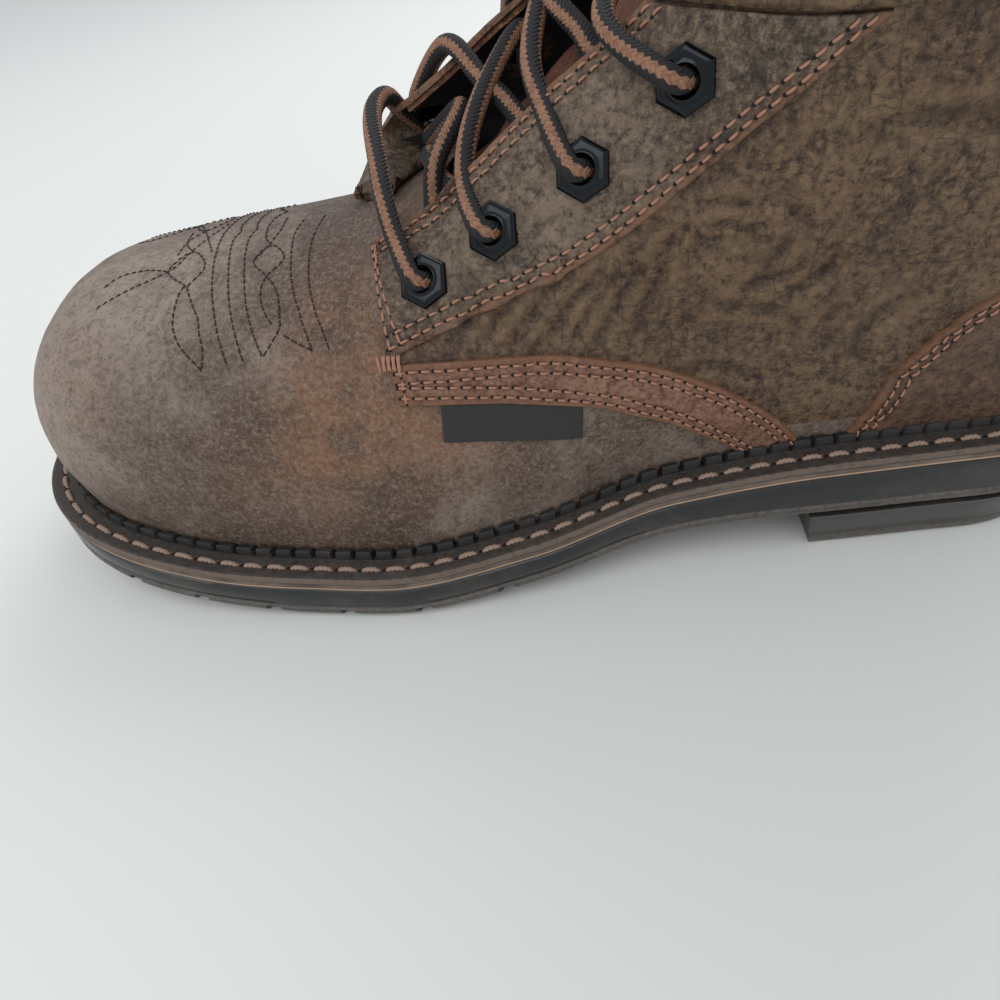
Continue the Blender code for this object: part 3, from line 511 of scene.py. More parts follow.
def grid_normals(grid):
    """Outward normals of a heel to heel grid."""
    ring = np.concatenate([grid[:, -2:-1], grid, grid[:, 1:2]], axis=1)
    across = ring[:, 2:] - ring[:, :-2]
    up = np.gradient(grid, axis=0)
    normal = np.cross(across, up)
    length = np.linalg.norm(normal, axis=-1, keepdims=True)
    return normal / np.maximum(length, 1e-12)


def on_skin(along, level, side):
    x, z = along * LENGTH, level_height(level)
    return (x, skin_y(x, z, side), z)


# Creases placed in shares of the boot's length and in levels
CREASES = (
    # side, depth, width, then points of along and level
    (1, 0.0006, 0.0012, (0.560, 0.786), (0.549, 0.836), (0.535, 0.882)),
    (1, 0.0007, 0.0012, (0.539, 0.776), (0.525, 0.839), (0.508, 0.898)),
    (1, 0.0007, 0.0013, (0.515, 0.764), (0.502, 0.826), (0.488, 0.887), (0.470, 0.938)),
    (1, 0.0008, 0.0013, (0.496, 0.749), (0.482, 0.804), (0.472, 0.850), (0.457, 0.904),
     (0.447, 0.950)),
    (1, 0.0007, 0.0012, (0.473, 0.739), (0.462, 0.805), (0.450, 0.870), (0.437, 0.924),
     (0.430, 0.972)),
    (1, 0.0008, 0.0014, (0.453, 0.729), (0.443, 0.798), (0.433, 0.865), (0.423, 0.930),
     (0.420, 1.009)),
    (1, 0.0007, 0.0012, (0.430, 0.727), (0.420, 0.797), (0.413, 0.867), (0.411, 0.953),
     (0.401, 1.020)),
    (1, 0.0008, 0.0013, (0.413, 0.795), (0.406, 0.884), (0.403, 0.967), (0.388, 1.039)),
    (1, 0.0008, 0.0014, (0.383, 0.895), (0.362, 0.836), (0.340, 0.822), (0.316, 0.807),
     (0.299, 0.762)),
    (1, 0.0007, 0.0013, (0.352, 0.824), (0.341, 0.877), (0.326, 0.901), (0.311, 0.916)),
    (1, 0.0008, 0.0014, (0.342, 0.850), (0.332, 0.930), (0.321, 0.987), (0.320, 1.046)),
    (1, 0.0007, 0.0013, (0.381, 1.025), (0.366, 1.037), (0.349, 1.028), (0.332, 1.034)),
    (1, 0.0007, 0.0013, (0.385, 1.004), (0.363, 1.000), (0.342, 1.006), (0.321, 0.987)),
    (1, 0.0008, 0.0014, (0.317, 0.817), (0.302, 0.877), (0.288, 0.918), (0.286, 0.977)),
    (1, 0.0006, 0.0013, (0.287, 0.719), (0.277, 0.794), (0.270, 0.820)),
    (1, 0.0007, 0.0014, (0.385, 0.626), (0.370, 0.662), (0.346, 0.645), (0.324, 0.607)),
    (1, 0.0007, 0.0013, (0.384, 1.067), (0.361, 1.078), (0.340, 1.063)),
    (1, 0.0007, 0.0014, (0.335, 1.083), (0.316, 1.053), (0.303, 1.006)),
    (1, 0.0005, 0.0012, (0.550, 0.971), (0.544, 0.934), (0.537, 0.907)),
    (1, 0.0005, 0.0012, (0.533, 0.968), (0.516, 0.963), (0.503, 0.984)),
    (1, 0.0005, 0.0012, (0.502, 1.011), (0.483, 1.043), (0.468, 1.069)),
    (1, 0.0007, 0.0018, (0.240, 0.620), (0.255, 0.700), (0.240, 0.780), (0.205, 0.850)),
    (1, 0.0008, 0.0018, (0.300, 1.200), (0.260, 1.225), (0.215, 1.215), (0.160, 1.170)),
    (-1, 0.0010, 0.0024, (0.430, 0.800), (0.380, 0.860), (0.320, 0.880)),
    (-1, 0.0010, 0.0024, (0.400, 0.950), (0.350, 0.990), (0.280, 0.980)),
    (-1, 0.0009, 0.0022, (0.330, 1.150), (0.270, 1.180), (0.200, 1.140)),
)


def fold_relief(points, creases):
    """Push of soft troughs with a low ridge on each side, along lines on the skin."""
    push = np.zeros(points.shape[:-1])
    for side, depth, width, *marks in creases:
        line = resample([on_skin(*mark, side) for mark in marks], 26)
        middle = np.abs(points - line.mean(axis=0)).max(axis=-1)
        chosen = middle < 0.07
        found = points[chosen]
        best = np.full(len(found), 1.0)
        share = np.zeros(len(found))
        for k, spot in enumerate(line):
            gap = np.linalg.norm(found - spot, axis=1)
            closer = gap < best
            best = np.where(closer, gap, best)
            share = np.where(closer, k / (len(line) - 1), share)
        fade = np.sin(np.pi * np.clip(share, 0.02, 0.98)) ** 0.6
        trough = -np.exp(-((best / width) ** 2))
        ridge = 0.45 * np.exp(-(((best - 2.1 * width) / (1.1 * width)) ** 2))
        push[chosen] += depth * fade * (trough + ridge)
    return push


def rough(points, size, seed):
    """Soft noise at points, about -1 to 1."""
    flat = (points.reshape(-1, 3) / size + seed * 7.3).tolist()
    values = [noise.fractal(p, 0.6, 2.1, 3) for p in flat]
    return np.array(values).reshape(points.shape[:-1])


base = settle(base_rows())
base_normals = grid_normals(base)
base += base_normals * fold_relief(base, CREASES)[..., None]
leg_share = np.clip((0.200 - base[..., 0]) / 0.05, 0, 1)[..., None]
base += base_normals * (rough(base, 0.014, 1)[..., None] * (0.00010 + 0.00030 * leg_share))
base_normals = grid_normals(base)


def grid_faces(rows, columns, keep=None, flip=False, offset=0):
    """Quads of a grid numbered row by row; keep is a mask with one entry for each quad."""
    row, column = np.meshgrid(np.arange(rows - 1), np.arange(columns - 1), indexing="ij")
    if keep is not None:
        row, column = row[keep], column[keep]
    first = (row * columns + column).reshape(-1) + offset
    order = [first, first + 1, first + columns + 1, first + columns]
    if flip:
        order = order[::-1]
    return np.stack(order, 1)


def turn_outward(mesh):
    """Give the faces one order, with their normals away from the mesh's middle."""
    work = bmesh.new()
    work.from_mesh(mesh)
    bmesh.ops.recalc_face_normals(work, faces=work.faces)
    middle = sum((v.co for v in work.verts), Vector()) / len(work.verts)
    outward = 0.0
    for face in work.faces:
        outward += (face.calc_center_median() - middle).dot(face.normal) * face.calc_area()
    if outward < 0:
        bmesh.ops.reverse_faces(work, faces=work.faces)
    work.to_mesh(mesh)
    work.free()


def add_piece(name, verts, faces, finish, nodes=(), attributes=None, sharp=None,
              closed=False):
    """Object from points and faces, which rides on the root and may stand for solids."""
    verts = np.asarray(verts, dtype=float).reshape(-1, 3)
    used = np.unique(np.concatenate([np.ravel(face) for face in faces]))
    number = np.full(len(verts), -1)
    number[used] = np.arange(len(used))
    faces = [[int(number[k]) for k in face] for face in faces]
    mesh = bpy.data.meshes.new(name)
    mesh.from_pydata(place(verts[used]).tolist(), [], faces)
    for key, values in (attributes or {}).items():
        values = np.asarray(values, dtype=float)
        vector = values.ndim == 2
        kind = "FLOAT_VECTOR" if vector else "FLOAT"
        layer = mesh.attributes.new(key, kind, "POINT")
        layer.data.foreach_set("vector" if vector else "value", values[used].ravel())
    if closed:
        turn_outward(mesh)
    mesh.shade_smooth()
    if sharp:
        mesh.set_sharp_from_angle(angle=math.radians(sharp))
    mesh.materials.append(finish)
    piece = bpy.data.objects.new(name, mesh)
    bpy.context.scene.collection.objects.link(piece)
    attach(piece, "root")
    if nodes:
        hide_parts(*nodes)
    return piece


# The base as a surface that other pieces are laid on
flat_base = base.reshape(-1, 3)
flat_normals = base_normals.reshape(-1, 3)
base_quads = grid_faces(*base.shape[:2])
drape_tree = BVHTree.FromPolygons(flat_base.tolist(), base_quads.tolist())


def blend_normal(spot, face):
    """Normal of the base at a place on one of its quads."""
    corners = base_quads[face]
    gaps = np.linalg.norm(flat_base[corners] - np.array(spot), axis=1)
    weights = 1 / (gaps + 1e-6) ** 2
    return unit((flat_normals[corners] * weights[:, None]).sum(axis=0))


def drape(x, z, side):
    """Place and outward normal on the base, looked at from one side."""
    hit = drape_tree.ray_cast(Vector((x, side * 0.2, z)), Vector((0, -side, 0)))
    if hit[0] is None:
        guess = Vector((x, skin_y(x, min(z, ridge_z(x) - 1e-5), side), z))
        hit = drape_tree.find_nearest(guess)
    return np.array(hit[0]), blend_normal(hit[0], hit[2])


def snap(point):
    """Nearest place on the base, and its normal."""
    hit = drape_tree.find_nearest(Vector(point))
    return np.array(hit[0]), blend_normal(hit[0], hit[2])


def snap_grid(grid):
    """Nearest places on the base to a grid's points, and their normals."""
    spots, turns = np.zeros(grid.shape), np.zeros(grid.shape)
    for at in np.ndindex(grid.shape[:2]):
        spots[at], turns[at] = snap(grid[at])
    return spots, turns


# Patches laid on the base

EDGE_STEPS = (0.0, 0.00002, 0.00018, 0.00045, 0.0009)
EDGE_HEIGHTS = (-0.30, 0.50, 0.82, 0.96, 1.0)


def marks_along(length, step):
    """Distances along a patch, crowded at both ends."""
    count = max(int((length - 2 * EDGE_STEPS[-1]) / step), 2)
    inner = np.linspace(EDGE_STEPS[-1], length - EDGE_STEPS[-1], count)[1:-1]
    ends = np.array(EDGE_STEPS)
    return np.concatenate([ends, inner, length - ends[::-1]])


def edge_profile(marks):
    reach = np.minimum(marks, marks[-1] - marks)
    out = np.interp(reach, EDGE_STEPS, EDGE_HEIGHTS)
    out[0] = out[-1] = EDGE_HEIGHTS[0]
    return out


def trace(points, marks):
    """Places at given distances along a polyline whose length is scaled to the last mark."""
    path = np.array(points)
    run = run_along(path)
    return at_marks(np.array(marks) / marks[-1] * run[-1], run, path)


def smooth_line(points, count=60):
    """Soft curve through side view or space points."""
    points = [np.array(p, dtype=float) for p in points]
    ends = [2 * points[0] - points[1]] + points + [2 * points[-1] - points[-2]]
    out = []
    for a, b, c, d in zip(ends, ends[1:], ends[2:], ends[3:]):
        for step in range(8):
            t = step / 8
            out.append(
                0.5 * (2 * b + (c - a) * t + (2 * a - 5 * b + 4 * c - d) * t**2
                       + (3 * b - a - 3 * c + d) * t**3)
            )
    out.append(points[-1])
    return resample(out, count)


def side_line(table):
    return smooth_line([(along * LENGTH, level_height(level)) for along, level in table])


class Patch:
    """Leather laid on the base between two lines in the side view, with sunk edges."""

    def __init__(self, lower, upper, side, thickness, step=0.0011, channels=()):
        self.u = marks_along(run_along(lower)[-1] * 1.04, step)
        width = np.linalg.norm(lower - upper, axis=1).max() * 1.12
        self.v = marks_along(width, step)
        low, high = trace(lower, self.u), trace(upper, self.u)
        rows, widths = [], []
        for a, b in zip(low, high):
            line = np.array([drape(*(a + (b - a) * t), side)[0] for t in np.linspace(0, 1, 15)])
            widths.append(run_along(line)[-1])
            rows.append(trace(line, self.v))
        self.points, self.normals = snap_grid(np.array(rows))
        height = np.minimum(edge_profile(self.u)[:, None], edge_profile(self.v)[None, :])
        self.height = height * thickness
        self.thickness = thickness
        real = self.v[None, :] * (np.array(widths) / self.v[-1])[:, None]
        total = real[:, -1:]
        self.real, self.total = real, total
        for from_top, inset in channels:
            gap = (total - real if from_top else real) - inset
            self.height = self.height - 0.00028 * np.exp(-((gap / 0.0008) ** 2)) * (height > 0.9)

    def run(self, from_top, inset, start):
        """Line at an inset from the lower or upper edge, with normals."""
        out = []
        first = int(start * (len(self.u) - 1))
        for k in range(max(first, 3), len(self.u) - 3):
            at = self.total[k, 0] - inset if from_top else inset
            column = float(np.interp(at, self.real[k], np.arange(len(self.v))))
            out.append(self.pick(k, column))
        return out

    def pick(self, row, column):
        low = int(min(column, len(self.v) - 2))
        t = column - low
        spot = self.points[row, low] * (1 - t) + self.points[row, low + 1] * t
        return spot + self.normals[row, low] * self.thickness, self.normals[row, low]

    def across(self, inset, low_share, high_share):
        """Line across the patch at a distance from its first end."""
        row = int(np.argmin(np.abs(self.u - inset)))
        columns = np.linspace(low_share, high_share, 30) * (len(self.v) - 1)
        return [self.pick(row, float(c)) for c in columns]


# Small joined meshes


def sweep_frames(path):
    """Two cross directions that turn as little as they can along a path."""
    tangents = unit(np.gradient(path, axis=0))
    start = np.array([0.0, 0.0, 1.0])
    if abs(np.dot(start, tangents[0])) > 0.9:
        start = np.array([0.0, 1.0, 0.0])
    first = unit(np.cross(tangents[0], start))
    sides = []
    for tangent in tangents:
        first = unit(first - tangent * np.dot(first, tangent))
        sides.append(first)
    return np.array(sides), np.cross(tangents, sides)


def stitch_mesh(lines, length, gap, radius, sink, sides=6, twist=0.0, rings=7):
    """Bent threads along lines of places and normals, their ends dipping into the holes."""
    verts, faces, holes = [], [], []
    for line in lines:
        spots = np.array([p for p, _ in line])
        normals = np.array([n for _, n in line])
        run = run_along(spots)
        count = max(int(run[-1] / (length + gap)), 1)
        pitch = run[-1] / count
        for k in range(count):
            marks = pitch * k + np.linspace(gap / 2, pitch - gap / 2, rings)
            centre, normal = at_marks(marks, run, spots), at_marks(marks, run, normals)
            share = np.linspace(-1, 1, rings)
            lift = radius * 0.55 - sink * np.abs(share) ** 2.5
            centre = centre + normal * lift[:, None]
            side = unit(np.cross(unit(np.gradient(centre, axis=0)), normal))
            size = radius * np.sqrt(np.clip(1.02 - np.abs(share) ** 4, 0.02, 1))
            start = len(verts)
            for m in range(rings):
                for s in range(sides):
                    turn = 2 * math.pi * s / sides
                    ply = 1 + 0.20 * math.cos(2 * (turn - twist * marks[m])) if twist else 1.0
                    out = side[m] * math.cos(turn) * 1.12 + normal[m] * math.sin(turn)
                    verts.append(centre[m] + out * size[m] * ply)
            for m in range(rings - 1):
                for s in range(sides):
                    n = (s + 1) % sides
                    a = start + m * sides
                    faces.append((a + s, a + sides + s, a + sides + n, a + n))
            holes.append((centre[0] - normal[0] * lift[0], normal[0]))
    return verts, faces, holes


def add_stitches(name, lines, finish, slot, length=0.0024, gap=0.0007, radius=0.00029,
                 sink=0.00045, **extra):
    verts, faces, holes = stitch_mesh(lines, length, gap, radius, sink, **extra)
    add_piece(name, verts, faces, finish)
    return holes


def add_hole_shades(name, holes, radius, finish):
    """Small dark discs of painted shade in the holes where the thread goes down."""
    verts, faces = [], []
    for spot, normal in holes:
        side = unit(np.cross(normal, [0.3, 0.2, 0.9]))
        other = np.cross(normal, side)
        start = len(verts)
        verts.append(spot + normal * 0.00016)
        for k in range(7):
            turn = 2 * math.pi * k / 7
            out = side * math.cos(turn) + other * math.sin(turn)
            verts.append(spot - normal * 0.0001 + out * radius)
        for k in range(7):
            faces.append((start, start + 1 + k, start + 1 + (k + 1) % 7))
    add_piece(name, verts, faces, finish)


# Materials


class Finish:
    """Short way to wire one material."""

    def __init__(self, name, colour, roughness, **inputs):
        self.made = bpy.data.materials.new(name)
        self.made.use_nodes = True
        self.tree = self.made.node_tree
        self.shader = self.tree.nodes["Principled BSDF"]
        self.shader.inputs["Base Color"].default_value = (*colour, 1.0)
        self.shader.inputs["Roughness"].default_value = roughness
        for key, value in inputs.items():
            self.shader.inputs[key.replace("_", " ")].default_value = value

    def put(self, socket, value):
        if isinstance(value, bpy.types.NodeSocket):
            self.tree.links.new(value, socket)
        elif isinstance(value, tuple) and len(value) == 3 and len(socket.default_value) == 4:
            socket.default_value = (*value, 1.0)
        else:
            socket.default_value = value

    def node(self, kind, inputs=None, out=0, **settings):
        node = self.tree.nodes.new(kind)
        for key, value in settings.items():
            setattr(node, key, value)
        for key, value in (inputs or {}).items():
            self.put(node.inputs[key], value)
        return node.outputs[out]

    def math(self, operation, a, b=0.0):
        return self.node("ShaderNodeMath", {0: a, 1: b}, operation=operation)

    def spot(self):
        return self.node("ShaderNodeTexCoord", out=3)

    def noise(self, scale, detail=3.0, rough=0.6, stretch=None, warp=0.0):
        at = self.spot()
        if stretch:
            at = self.node("ShaderNodeMapping", {"Vector": at, "Scale": stretch})
        return self.node(
            "ShaderNodeTexNoise",
            {"Vector": at, "Scale": scale, "Detail": detail, "Roughness": rough, "Distortion": warp},
        )

    def cells(self, scale):
        return self.node("ShaderNodeTexVoronoi", {"Vector": self.spot(), "Scale": scale})

    def level(self, value, low, high, start=0.0, end=1.0):
        return self.node(
            "ShaderNodeMapRange",
            {0: value, 1: low, 2: high, 3: start, 4: end},
            interpolation_type="SMOOTHSTEP",
        )

    def mix(self, share, a, b):
        node = self.tree.nodes.new("ShaderNodeMix")
        node.data_type = "RGBA"
        self.put(node.inputs[0], share)
        self.put(node.inputs[6], a)
        self.put(node.inputs[7], b)
        return node.outputs[2]

    def read(self, name, vector=False):
        return self.node("ShaderNodeAttribute", attribute_name=name, out=1 if vector else 2)

    def bump(self, *layers):
        """Each layer is a height, its strength and its depth in metres."""
        normal = None
        for height, strength, depth in layers:
            inputs = {"Height": height, "Strength": strength, "Distance": depth}
            if normal is not None:
                inputs["Normal"] = normal
            normal = self.node("ShaderNodeBump", inputs)
        self.put(self.shader.inputs["Normal"], normal)

    def set(self, **inputs):
        for key, value in inputs.items():
            self.put(self.shader.inputs[key.replace("_", " ")], value)
        return self.made


def tone(red, green, blue):
    """Linear colour from display values of 0 to 255."""
    out = []
    for value in (red, green, blue):
        c = value / 255
        out.append(c / 12.92 if c <= 0.04045 else ((c + 0.055) / 1.055) ** 2.4)
    return tuple(out)


# Colours, read and kept as display values
VAMP_BROWN = tone(88, 71, 60)
VAMP_GREY = tone(158, 143, 130)
VAMP_AMBER = tone(134, 98, 74)
VAMP_DARK = tone(44, 32, 26)
QUARTER_BROWN = tone(96, 74, 58)
QUARTER_LIGHT = tone(130, 105, 79)
QUARTER_DARK = tone(30, 21, 16)
STRAP_BROWN = tone(126, 90, 74)
STRAP_LIGHT = tone(160, 122, 100)
STRAP_DARK = tone(66, 42, 34)
TONGUE_BROWN = tone(92, 58, 44)
EDGE_ORANGE = tone(126, 88, 64)
THREAD_TAN = tone(170, 124, 102)
THREAD_DARK = tone(46, 36, 34)
CORD_TAN = tone(158, 116, 90)
CORD_BLACK = tone(26, 25, 27)
RUBBER_BLACK = tone(22, 24, 24)
RUBBER_DUST = tone(112, 104, 96)
BAND_BROWN = tone(120, 104, 92)
LINING_BLACK = tone(24, 21, 21)


def leather(name, base_colour, light, dark, grain, roughness, amber=None, lines=0.0, ridge_light=0.5,
            mottle=0.75):
    """Oiled leather with pores and soft mottling; from the point attributes come pale, amber and dyed-edge
    places, painted shade in the creases and painted highlight on their ridges.
    """
    f = Finish(name, base_colour, roughness, Specular_IOR_Level=0.35, Coat_Weight=0.0)
    broad = f.noise(34.0, 4.0, 0.6)
    fine = f.noise(260.0, 4.0, 0.7)
    pores = f.cells(grain)
    speck = f.noise(grain * 1.6, 2.0, 0.7)
    colour = f.mix(f.level(broad, 0.42, 0.72, 0.0, 0.65), base_colour, light)
    colour = f.mix(f.level(fine, 0.45, 0.75, 0.0, 0.5), colour, dark)
    colour = f.mix(f.math("MULTIPLY", f.read("pale"), f.level(fine, 0.2, 0.7, 1.0, 0.4)), colour, light)
    if amber:
        cloud = f.level(f.noise(60.0, 5.0, 0.75), 0.32, 0.66, 0.1, 0.9)
        colour = f.mix(f.math("MULTIPLY", f.read("amber"), cloud), colour, amber)
    middling = f.noise(grain * 0.55, 5.0, 0.8)
    colour = f.mix(f.level(middling, 0.38, 0.50, mottle, 0.0), colour, dark)
    colour = f.mix(f.level(middling, 0.50, 0.64, 0.0, mottle), colour, light)
    colour = f.mix(f.level(speck, 0.56, 0.74, 0.0, 0.6), colour, light)
    # Darker by a point attribute: painted shade in the crease troughs, and plain mottle on the cuff
    colour = f.mix(f.math("MULTIPLY", f.read("deep"), 0.75), colour, dark)
    # Lighter on the crease ridges: painted highlight
    colour = f.mix(f.math("MULTIPLY", f.read("worn"), ridge_light), colour, light)
    edge = f.math("MULTIPLY", f.read("edge"), f.level(f.noise(140.0, 3.0), 0.30, 0.60, 0.3, 0.9))
    colour = f.mix(edge, colour, EDGE_ORANGE)
    layers = [(pores, 0.45, 0.00018), (middling, 0.55, 0.00045), (broad, 0.25, 0.0008)]
    # Fine wrinkle lines, sunk by bump and darkened in colour: the darkening is painted shade
    if lines:
        for scale, stretch in ((170.0, (1.0, 1.0, 0.42)), (300.0, (0.5, 1.0, 1.0))):
            web = f.noise(scale, 2.0, 0.5, stretch=stretch, warp=0.3)
            line = f.level(f.math("ABSOLUTE", f.math("SUBTRACT", web, 0.5)), 0.0, 0.05, 1.0, 0.0)
            line = f.math("MULTIPLY", line, f.level(f.noise(60.0, 3.0), 0.34, 0.60))
            colour = f.mix(f.math("MULTIPLY", line, 0.65 * lines), colour, dark)
            layers.append((line, -0.9 * lines, 0.0006))
    f.bump(*layers)
    rough = f.level(f.noise(90.0, 3.0), 0.3, 0.7, roughness - 0.08, roughness + 0.10)
    return f.set(Base_Color=colour, Roughness=rough)


vamp_finish = leather("vamp_nubuck", VAMP_BROWN, VAMP_GREY, VAMP_DARK, 1500.0, 0.62, VAMP_AMBER,
                      mottle=0.45)
quarter_finish = leather("quarter_hide", QUARTER_BROWN, QUARTER_LIGHT, QUARTER_DARK, 900.0, 0.55,
                         lines=0.7)
eyestay_finish = leather("eyestay_hide", tone(90, 74, 60), tone(134, 116, 98), tone(34, 26, 21),
                         900.0, 0.56, lines=0.9)
strap_finish = leather("strap_hide", STRAP_BROWN, STRAP_LIGHT, STRAP_DARK, 1000.0, 0.58, lines=0.3)
counter_finish = leather("counter_hide", tone(96, 72, 57), tone(124, 94, 73), tone(42, 29, 22), 1000.0, 0.55,
                         lines=0.4)
tongue_finish = leather("tongue_hide", TONGUE_BROWN, tone(138, 92, 70), tone(56, 32, 24), 900.0,
                        0.58, lines=0.3)


def plain(name, colour, roughness, bump_scale=0.0, depth=0.0001, **inputs):
    f = Finish(name, colour, roughness, **inputs)
    if bump_scale:
        f.bump((f.noise(bump_scale, 4.0, 0.7), 0.5, depth))
    return f.made


lining_finish = plain("lining_cloth", LINING_BLACK, 0.9, 1400.0)
raw_finish = leather("raw_edge", tone(98, 66, 46), tone(150, 108, 78), tone(44, 28, 22), 700.0, 0.8)
thread_finish = plain("seam_thread", THREAD_TAN, 0.7, 2600.0, 0.00008)
dark_thread = plain("toe_thread", THREAD_DARK, 0.75)
# Painted shade in the needle holes
hole_shade_finish = plain("needle_hole_shade", tone(22, 15, 13), 0.9)
tag_finish = plain("tag_weave", tone(52, 51, 49), 0.88, 1500.0, 0.0004)
metal_finish = plain("black_nickel", tone(46, 48, 50), 0.18, Metallic=1.0)


def rubber(name, colour, dust, roughness, coat=0.0):
    """Moulded rubber with dust in its grain; the dusty share comes from a point attribute."""
    f = Finish(name, colour, roughness, Specular_IOR_Level=0.5)
    fine = f.noise(700.0, 4.0, 0.7)
    broad = f.noise(60.0, 4.0, 0.6)
    share = f.math("ADD", f.read("dusty"), f.level(broad, 0.45, 0.75, 0.0, 0.25))
    share = f.math("MULTIPLY", share, f.level(fine, 0.3, 0.62, 0.35, 1.0))
    f.bump((fine, 0.35, 0.00012), (broad, 0.25, 0.0006))
    rough = f.node("ShaderNodeMapRange", {0: share, 3: roughness, 4: 0.85})
    return f.set(Base_Color=f.mix(share, colour, dust), Roughness=rough, Coat_Weight=coat)


welt_finish = rubber("welt_rubber", tone(30, 30, 30), tone(112, 98, 87), 0.48)
sole_finish = rubber("sole_rubber", RUBBER_BLACK, RUBBER_DUST, 0.30, 0.2)


def band_material():
    f = Finish("band_rubber", BAND_BROWN, 0.75)
    drop = f.read("drop")
    line = f.level(drop, 0.60, 0.66)
    line = f.math("MULTIPLY", line, f.level(drop, 0.78, 0.86, 1.0, 0.0))
    colour = f.mix(f.level(f.noise(120.0, 4.0), 0.35, 0.7), BAND_BROWN, tone(88, 76, 68))
    colour = f.mix(line, colour, tone(186, 156, 128))
    f.bump((f.noise(900.0, 3.0), 0.4, 0.00012))
    return f.set(Base_Color=colour)


band_finish = band_material()


def braid_material():
    """Round braided lace: lengthwise tan and black stripes with toothed borders."""
    f = Finish("braided_lace", CORD_BLACK, 0.78)
    place_node = f.tree.nodes.new("ShaderNodeSeparateXYZ")
    f.put(place_node.inputs[0], f.read("braid", vector=True))
    turn, run = place_node.outputs[0], place_node.outputs[1]
    lane = f.math("FRACT", f.math("ADD", f.math("MULTIPLY", turn, 3.0), f.math("MULTIPLY", run, 9.0)))
    centred = f.math("ABSOLUTE", f.math("SUBTRACT", lane, 0.5))
    tooth = f.math("PINGPONG", f.math("MULTIPLY", run, 640.0), 0.5)
    border = f.math("ADD", 0.14, f.math("MULTIPLY", tooth, 0.24))
    tan = f.level(f.math("SUBTRACT", border, centred), -0.02, 0.02)
    twill = f.math("FRACT", f.math("ADD", f.math("MULTIPLY", run, 900.0), f.math("MULTIPLY", centred, 4.0)))
    strand = f.math("PINGPONG", twill, 0.5)
    tan_colour = f.mix(f.level(f.noise(900.0, 2.0), 0.35, 0.7), CORD_TAN, tone(132, 92, 70))
    # Black strands paler along their middles: painted highlight
    colour = f.mix(tan, f.mix(strand, CORD_BLACK, tone(46, 46, 50)), tan_colour)
    # Darker in the gaps between strands: painted shade
    colour = f.mix(f.level(strand, 0.0, 0.14, 0.5, 0.0), colour, tone(16, 14, 14))
    f.bump((strand, 0.8, 0.0005), (f.noise(3000.0, 2.0), 0.3, 0.0001))
    return f.set(Base_Color=colour)


cord_finish = braid_material()


# Eyelet places on the draped overlays
EYELET_PAIRS = 6
EYELET_LEVELS = {
    1: (0.937, 1.041, 1.158, 1.314, 1.520, 1.730),
    -1: (0.926, 1.070, 1.200, 1.355, 1.610, 1.800),
}


def place_at(z, half, side):
    """How far along the outer face is half away from the middle line at a height."""
    low, high = LENGTH * 0.25, LENGTH * 0.72
    for _ in range(40):
        middle = (low + high) / 2
        offset = abs(skin_y(middle, z, side) - middle_y(z))
        low, high = (middle, high) if offset > half else (low, middle)
    return (low + high) / 2


def throat_place(z, inset, side):
    return snap(on_skin(place_at(z, throat_half(z) + inset, side) / LENGTH, height_level(z), side))


# Outer eyelets in the photo's view, along the boot and up
OUTER_EYELETS = ((0.1795, 0.0872), (0.1622, 0.0975), (0.1420, 0.1095), (0.1221, 0.1255))
eyelets = {}
for side in (1, -1):
    for number in range(EYELET_PAIRS):
        if side > 0 and number < len(OUTER_EYELETS):
            eyelets[side, number] = drape(*OUTER_EYELETS[number], side)
            continue
        z = level_height(EYELET_LEVELS[side][number]) + (INNER_EYELET_RISE if side < 0 else 0.0)
        eyelets[side, number] = throat_place(z, EYELET_INSETS[side], side)


def clear_of_holes(points, reach=0.0033):
    """Mask of points that no eyelet's barrel passes through."""
    keep = np.ones(points.shape[:-1], dtype=bool)
    for spot, _ in eyelets.values():
        keep &= np.linalg.norm(points - spot, axis=-1) > reach + 0.0012
    return keep


def quad_mask(mask):
    """A quad is kept where all its corners are."""
    return mask[:-1, :-1] & mask[1:, :-1] & mask[:-1, 1:] & mask[1:, 1:]


# Vamp, quarters, lining
BORDER = (
    # along, level between the strap's edges
    (0.335, 0.43), (0.373, 0.53), (0.461, 0.66), (0.529, 0.69), (0.6, 0.71),
)
SEAM_FRONT = {1: 0.598, -1: 0.640}
row_index = np.arange(base.shape[0] - 1)[:, None]
col_index = np.arange(base.shape[1] - 1)[None, :]
quad_middle = (base[:-1, :-1] + base[1:, 1:]) / 2
over_throat = (row_index >= CLOSED_ROWS) & (
    (col_index >= MIDDLE - OVER_COLUMNS) & (col_index < MIDDLE + OVER_COLUMNS)
)
along_map = quad_middle[..., 0] / LENGTH
level_map = np.vectorize(height_level)(quad_middle[..., 2])
border_map = np.vectorize(lambda a: smooth(BORDER, 1, a))(along_map)
front_map = np.where(col_index >= MIDDLE, SEAM_FRONT[1], SEAM_FRONT[-1])
in_vamp = (along_map > front_map) | (level_map < border_map)
in_vamp |= (np.abs(col_index + 0.5 - MIDDLE) < OVER_COLUMNS) & (row_index < CLOSED_ROWS)
open_holes = quad_mask(clear_of_holes(base))


def past_flap(points, margin=0.0006):
    """True for places on the inner flap above a line a margin below its trimmed front edge."""
    x, z = points[..., 0], points[..., 2]
    (front_x, front_z), (back_x, back_z) = FLAP_TRIM
    share = (front_x - x) / (front_x - back_x)
    over = z > front_z + share * (back_z - front_z) - margin
    return (points[..., 1] < RIDGE_OFFSET) & (x > back_x - margin) & over


# Line that the inner flap is trimmed to: its front corner and where it meets the throat's edge
FLAP_TRIM = ((0.2003, 0.0962), (0.1890, 0.1065))
past_corner = past_flap(quad_middle) & (row_index >= CLOSED_ROWS)
wall_quads = ~over_throat & open_holes & ~past_corner

